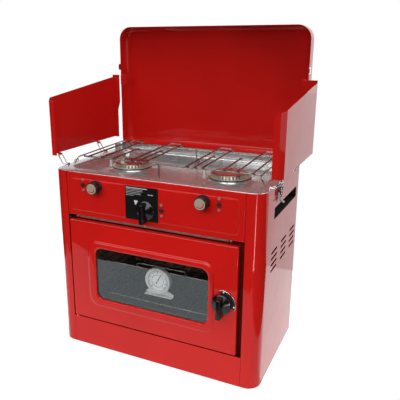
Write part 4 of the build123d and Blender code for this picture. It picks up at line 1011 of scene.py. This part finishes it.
# %% Thermometer
DIAL = (10.0, 204.0)
DIAL_FACE = -127.4
BEZEL_SHAPE = plain(
    (31.5, -126.0), (31.5, -128.6), (31.0, -129.3), (29.5, -129.6), (26.5, -129.2), (25.3, -128.4),
    (25.0, -127.0),
)
BEZEL_STEPS = 72
bezel = surface("dial_bezel", turned(BEZEL_SHAPE, DIAL, BEZEL_STEPS), zinc, False)
belongs(bezel, "body", "chrome")
RINGS = {"inner": (14.2, 15.4), "outer": (23.6, 24.8)}
RING_TOP, RING_ROUND = -127.65, 0.2
for name, (near, far) in RINGS.items():
    crest = (far - RING_ROUND, RING_TOP), (near + RING_ROUND, RING_TOP)
    band = plain((far, DIAL_FACE), *crest, (near, DIAL_FACE))
    belongs(surface("dial_ring_" + name, turned(band, DIAL), dial_grey, False), "body", "dial_white")
MARKS, MARK_GROUP, MARK_RISE = 41, 5, 0.25
MARK_SWEEP = (225.0, -45.0)
MARK_OUTER, LONG_INNER, SHORT_INNER = 23.0, 18.0, 20.4
LONG_HALF, SHORT_HALF = 0.8, 0.4


def mark_rows():
    """Each mark is a raised bar from an inner to an outer radius; every fifth is longer and wider."""
    angle = np.radians(np.linspace(*MARK_SWEEP, MARKS))
    major = np.arange(MARKS) % MARK_GROUP == 0
    inner = np.where(major, LONG_INNER, SHORT_INNER)
    wide = np.where(major, LONG_HALF, SHORT_HALF)
    along = np.stack([np.cos(angle), np.sin(angle)], axis=-1)
    beside = np.stack([-np.sin(angle), np.cos(angle)], axis=-1)
    outer = np.full(MARKS, MARK_OUTER)
    ends = np.stack([inner, inner, outer, outer], axis=-1)
    sides = np.stack([-wide, wide, wide, -wide], axis=-1)
    flat = ends[..., None] * along[:, None] + sides[..., None] * beside[:, None]
    x, z = DIAL[0] + flat[..., 0], DIAL[1] + flat[..., 1]
    return np.stack([x, np.full(x.shape, DIAL_FACE), z], axis=-1)


BAR_FACES = np.array([[4, 5, 6, 7], [0, 1, 5, 4], [1, 2, 6, 5], [2, 3, 7, 6], [3, 0, 4, 7], [3, 2, 1, 0]])


def raised_bars(name, bars, height, material):
    """Four-cornered bars stood up from their base by a height towards the front."""
    corners = np.concatenate([bars, bars - np.array([0, height, 0])], axis=1)
    start = np.arange(len(corners))[:, None, None] * corners.shape[1]
    faces = (start + BAR_FACES[None]).reshape(-1, 4)
    return new_piece(name, (corners.reshape(-1, 3) * MM).tolist(), faces.tolist(), material)


marks = raised_bars("dial_marks", mark_rows()[:, ::-1], MARK_RISE, dial_grey)
belongs(marks, "body", "dial_white")
NEEDLE_TURN, NEEDLE_LIFT, NEEDLE_RISE = radians(62.0), 0.8, 0.3
NEEDLE = np.array([(-8.0, 1.1), (-8.0, -1.1), (20.0, -0.5), (20.0, 0.5)])
needle_x = DIAL[0] + NEEDLE[:, 0] * np.cos(NEEDLE_TURN) - NEEDLE[:, 1] * np.sin(NEEDLE_TURN)
needle_z = DIAL[1] + NEEDLE[:, 0] * np.sin(NEEDLE_TURN) + NEEDLE[:, 1] * np.cos(NEEDLE_TURN)
needle_base = np.column_stack([needle_x, np.full(len(NEEDLE), DIAL_FACE - NEEDLE_LIFT), needle_z])
needle = raised_bars("dial_needle", needle_base[None], NEEDLE_RISE, FINISHES["plate_black"])
belongs(needle, "body", "plate_black")
SMALL_ROUND = 24
HUB_SHAPE = plain((2.6, DIAL_FACE), (2.6, -128.6), (2.0, -129.2), (0.6, -129.4))
belongs(surface("dial_hub", turned(HUB_SHAPE, DIAL, SMALL_ROUND), zinc), "body", "chrome")
print("thermometer marks", MARKS)

# %% [markdown]
# The upper rack has a raised pull in the middle of its front wire. The crescent plate behind the door knob
# has a bright edge and two screws, and three screws hold the strip above the door. Pull and edge are rings
# carried along a path, and one profile turned round its own axis makes every screw.

# %% Rack pull, plate edge and screws
PULL_WIRE, PULL_LEFT, PULL_MIDDLE, PULL_Y, PULL_Z = 1.3, -52.0, 11.0, -113.0, 223.0
PULL_ROUND, PULL_RISE, PULL_STEPS = 5.0, 9.0, 8
pull_bend = np.radians(np.linspace(0, 90, PULL_STEPS))
pull_x = PULL_LEFT + PULL_ROUND * (1 - np.cos(pull_bend))
pull_rise = np.column_stack([pull_x, np.full(len(pull_x), PULL_Y), PULL_Z + PULL_RISE * np.sin(pull_bend)])
pull_fall = pull_rise[::-1] * np.array([-1, 1, 1]) + np.array([2 * PULL_MIDDLE, 0, 0])
pull = surface("rack_pull", tube(np.concatenate([pull_rise, pull_fall]), PULL_WIRE), dull_wire)
belongs(pull, "body", "chrome")

LATCH = BAR_KNOBS["door"]["centre"]
PLATE_RADIUS, PLATE_EDGE_Y, PLATE_EDGE_ROUND = 30.2, -145.0, 0.75
PLATE_EDGE_SWEEP, PLATE_EDGE_STEPS = (-18, 100), 40
edge_turn = np.radians(np.linspace(*PLATE_EDGE_SWEEP, PLATE_EDGE_STEPS))
edge_path = round_axis(LATCH, PLATE_RADIUS, PLATE_EDGE_Y, edge_turn)
plate_edge = surface("latch_plate_edge", tube(edge_path, PLATE_EDGE_ROUND), FINISHES["chrome"])
belongs(plate_edge, "oven_door", "chrome")
SCREW_CROWN = ((1.0, 0.0), (1.0, 0.35), (0.86, 0.62), (0.5, 0.8), (0.42, 0.6), (0.2, 0.55))
LATCH_SCREWS, LATCH_SCREW_RING = {"low": -0.1, "high": 1.45}, 27.0
LATCH_SCREW_RADIUS, LATCH_SCREW_Y = 2.0, -145.2
STRIP_SCREWS, STRIP_SCREW_Z = {"left": -200.0, "middle": -19.0, "right": 183.0}, 331.0
STRIP_SCREW_RADIUS, STRIP_SCREW_Y = 2.6, -130.0


def dome_screw(name, place, radius, body):
    """A domed screw head: a short rim and a crown that flattens in the middle, in shares of its radius."""
    x, y, z = place
    shape = plain(*((share * radius, y - rise * radius) for share, rise in SCREW_CROWN))
    belongs(surface(name, turned(shape, (x, z), SMALL_ROUND), zinc), body, "chrome")


for name, angle in LATCH_SCREWS.items():
    place = round_axis(LATCH, LATCH_SCREW_RING, LATCH_SCREW_Y, angle)
    dome_screw("screw_latch_" + name, place, LATCH_SCREW_RADIUS, "oven_door")
for name, x in STRIP_SCREWS.items():
    dome_screw("screw_strip_" + name, (x, STRIP_SCREW_Y, STRIP_SCREW_Z), STRIP_SCREW_RADIUS, "body")
print("screws", len(LATCH_SCREWS) + len(STRIP_SCREWS))

# %% [markdown]
# The lid is a deep tray, and its walls run into its floor in a wide hollow curve, as a drawn sheet does.
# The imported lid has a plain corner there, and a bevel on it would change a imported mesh. So the curve is a
# piece of its own: a quarter circle, carried round the inside of the tray on outlines that grow smaller.

# %% Hollow curve inside the lid
LID_INSIDE = (-256.5, 256.5, 451.0, 764.0, (32, 32, 13, 13))
LID_FLOOR = 208.0
COVE, SUNK, COVE_STEPS = 15.0, 0.15, 15
cove_turn = np.radians(np.linspace(0, 90, COVE_STEPS))
cove_in = COVE - SUNK - COVE * np.cos(cove_turn)
cove_y = LID_FLOOR - COVE + SUNK + COVE * np.sin(cove_turn)
cove_shape = [*zip(cove_in, cove_y), (-SUNK, LID_FLOOR + SUNK)]
cove_rows = [upright(inset(LID_INSIDE, amount), y) for amount, y in cove_shape]
cove = surface("lid_cove", cove_rows, FINISHES["red_paint"], ends=False)
belongs(cove, "lid", "red_paint")
print("lid cove", len(cove.data.polygons), "faces")

# %% [markdown]
# A small red lug stands on the rim of the lid at each side, level with the ear of the windscreen. It is a
# bent tab with rounded edges. A box would do from afar, but its edges would catch no light.

# %% Lid lugs
LUG = (241.0, 257.8, 613.6, 640.4, 2.0)
LUG_SHAPE = ((0.4, 171.3), (0.0, 171.0), (0.0, 170.5), (0.3, 170.2), (0.9, 170.1))
LUGS = {"left": (-LUG[1], -LUG[0], *LUG[2:]), "right": LUG}
for hand, sides in LUGS.items():
    lug_rows = [upright(inset(sides, amount), y) for amount, y in LUG_SHAPE]
    belongs(surface("lid_lug_" + hand, lug_rows, FINISHES["red_paint"]), "lid", "red_paint")
print("lid lugs", sorted(LUGS))

# %% [markdown]
# The gap above the door shows a bare strip with a rounded front, held by the screws. The control plate is
# printed with pale marks: ruled lines, two short bars and a wedge that widens with the flame. They are thin
# raised bars, as on the dial, so that they need no picture.

# %% Strip above the door and marks on the plate
STRIP_ENDS, STRIP_BACK, STRIP_Z = (178.0, -195.0), -130.0, 330.2
STRIP_BULGE, STRIP_HALF, STRIP_STEPS = 1.6, 2.6, 9
strip_bend = np.radians(np.linspace(-90, 90, STRIP_STEPS))
strip_y, strip_z = STRIP_BACK - STRIP_BULGE * np.cos(strip_bend), STRIP_Z + STRIP_HALF * np.sin(strip_bend)
strip_rows = [np.column_stack([np.full(len(strip_bend), x), strip_y, strip_z]) for x in STRIP_ENDS]
belongs(surface("gap_strip", strip_rows, brown_strip), "body", "bare_steel")
PLATE_FACE, PRINT_RISE = -146.3, 0.15
LINE_LEFT, LINE_TOP, LINE_PITCH = -56.5, 423.0, 3.5
LINE_LENGTHS = np.array([52.0, 41.0, 42.0, 36.0, 37.0, 19.0])
LINE_HEIGHTS = np.array([1.5, 0.6, 0.6, 0.6, 0.6, 0.6])
SHORT_BARS = [(-2.0, 2.5, 411.5, 409.7), (4.5, 10.0, 411.5, 409.7)]
WEDGE = np.array([(-37.0, 394.5), (-33.5, 384.5), (-32.0, 384.5), (-26.5, 394.5)])


def plate_marks():
    """Ruled lines, two short bars and a wedge, each by its four corners."""
    high = LINE_TOP - LINE_PITCH * np.arange(len(LINE_LENGTHS))
    left = np.full(len(LINE_LENGTHS), LINE_LEFT)
    lines = np.stack([left, left + LINE_LENGTHS, high, high - LINE_HEIGHTS], axis=-1)
    left, right, high, low = np.concatenate([lines, SHORT_BARS]).T
    corners = np.stack([left, high, left, low, right, low, right, high], axis=-1).reshape(-1, 4, 2)
    flat = np.concatenate([corners, WEDGE[None]])
    return np.stack([flat[..., 0], np.full(flat.shape[:2], PLATE_FACE), flat[..., 1]], axis=-1)


plate_bars = plate_marks()
belongs(raised_bars("plate_marks", plate_bars, PRINT_RISE, FINISHES["dial_white"]), "body", "dial_white")
print("plate marks", len(plate_bars))
